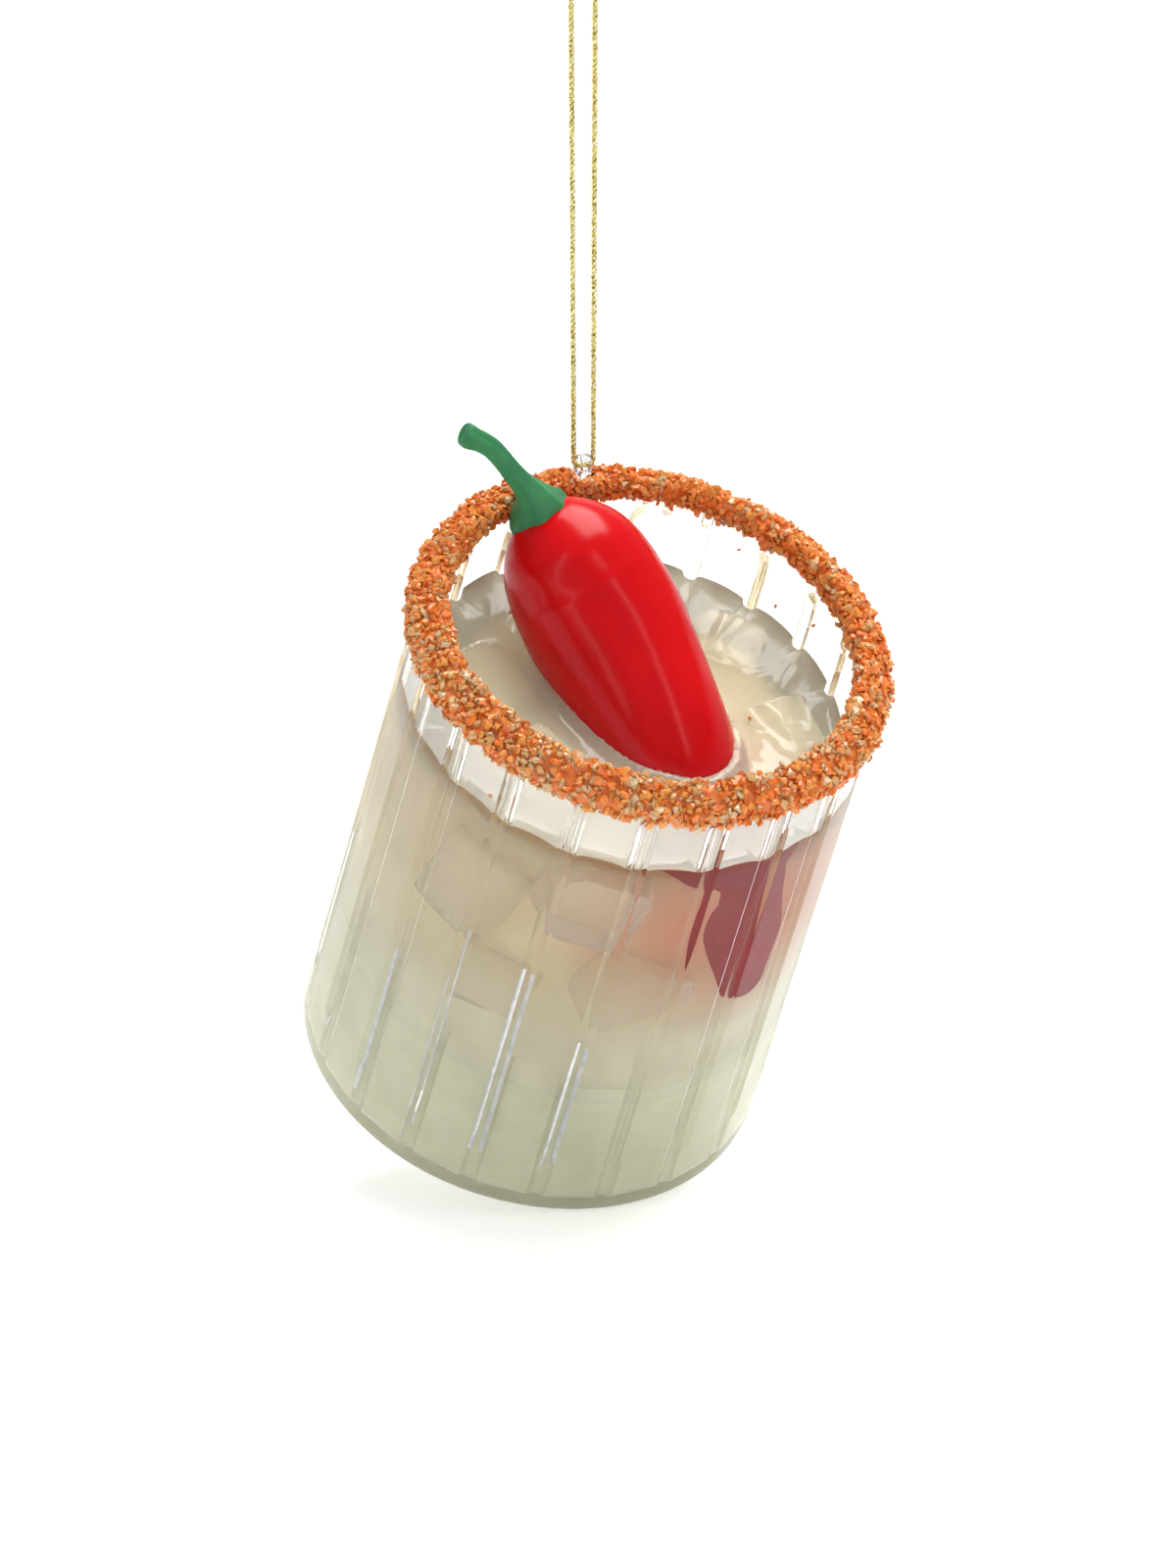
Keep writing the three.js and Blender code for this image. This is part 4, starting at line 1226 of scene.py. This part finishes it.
def make_world():
    """White behind the glass, with a dimmer room in front for gloss and clear plastic."""
    world = bpy.data.worlds.new("studio")
    scene.world = world
    world.use_nodes = True
    tree = world.node_tree
    tree.nodes.clear()
    path = node(tree, "LightPath")
    direction = node(tree, "TexCoord").outputs["Generated"]
    share = mapped(tree, measured(tree, "DOT_PRODUCT", direction, BACKDROP_DIRECTION), From_Min=-1)
    lit = node(tree, "Background", (*WHITE, 1), AMBIENT)
    rooms = (("Is Glossy Ray", GLOSS_ROOM), ("Is Transmission Ray", CLEAR_ROOM), ("Is Camera Ray", WHITE))
    for kind, room in rooms:
        colour = ramp(tree, share, [(0, room), (0.88, room), (0.97, WHITE), (1, WHITE)])
        lit = mixed(tree, path.outputs[kind], lit, node(tree, "Background", colour, 1.0))
    node(tree, "OutputWorld", lit)


def make_floor(height):
    """A pale floor that keeps the shadow but looks white to the camera."""
    m, tree, shader, _ = material("pale_floor")
    tint = ramp(tree, surface_noise(tree, 3), [(0, (0.92, 0.92, 0.92)), (1, (0.94, 0.94, 0.94))])
    path = node(tree, "LightPath")
    seen = path.outputs["Is Camera Ray"]
    for kind in ("Is Glossy Ray", "Is Transmission Ray"):
        seen = node(tree, "Math", seen, path.outputs[kind], operation="MAXIMUM")
    glow = node(tree, "Math", seen, FLOOR_GLOW, operation="MULTIPLY")
    setting(shader, Base_Color=tint, Roughness=0.9, Specular_IOR_Level=0.0)
    setting(shader, Emission_Color=(*WHITE, 1), Emission_Strength=glow)
    verts = [(x, y, height) for x in (-FLOOR_HALF, FLOOR_HALF) for y in (-FLOOR_HALF, FLOOR_HALF)]
    floor = new_mesh("floor", verts, [(0, 2, 3, 1)], [m])
    floor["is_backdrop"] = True


def softbox(name, place, width, height, power):
    data = bpy.data.lights.new(name, "AREA")
    data.shape = "RECTANGLE"
    data.size = width
    data.size_y = height
    data.energy = power
    lamp = add_object(name, data)
    lamp.location = place
    lamp.rotation_euler = (Vector(LAMP_TARGET) - Vector(place)).to_track_quat("-Z", "Y").to_euler()


make_camera()
make_cord(cord_material())
plastic = clear_plastic("clear_plastic", PLASTIC_IOR, PLASTIC_DULLNESS)
make_tumbler(plastic, clear_plastic("wetted_plastic", BONDED_IOR, 0.0))
make_chili(
    chili_material("chili_red", *CHILI_REDS, 0.2),
    chili_material("chili_under_resin", *SUNKEN_REDS, 0.0),
)
make_stem(stem_material())
make_ice(ice_material())
milky = milky_material()
make_milky_pour(milky)
make_cloud(milky)
make_hazy_pour(
    hazy_material("hazy_side", BONDED_IOR, 0.0, SIDE_STOPS, 0.98),
    hazy_material("hazy_top", 1.34, 0.05, TOP_STOPS, 0.55),
)
make_painted_highlights(painted_highlight_material())
make_crust([grain_material(*kind) for kind in GRAIN_KINDS])
make_glue(glue_material())
make_lug(plastic)
make_world()
lowest = min((o.matrix_world @ Vector(c)).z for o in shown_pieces() for c in o.bound_box)
make_floor(lowest - FLOOR_DROP)
for lamp in LAMPS:
    softbox(*lamp)

cycles = scene.cycles
cycles.max_bounces = 28
cycles.transmission_bounces = 24
cycles.volume_bounces = 16
cycles.diffuse_bounces = 5
cycles.glossy_bounces = 6
cycles.transparent_max_bounces = 24
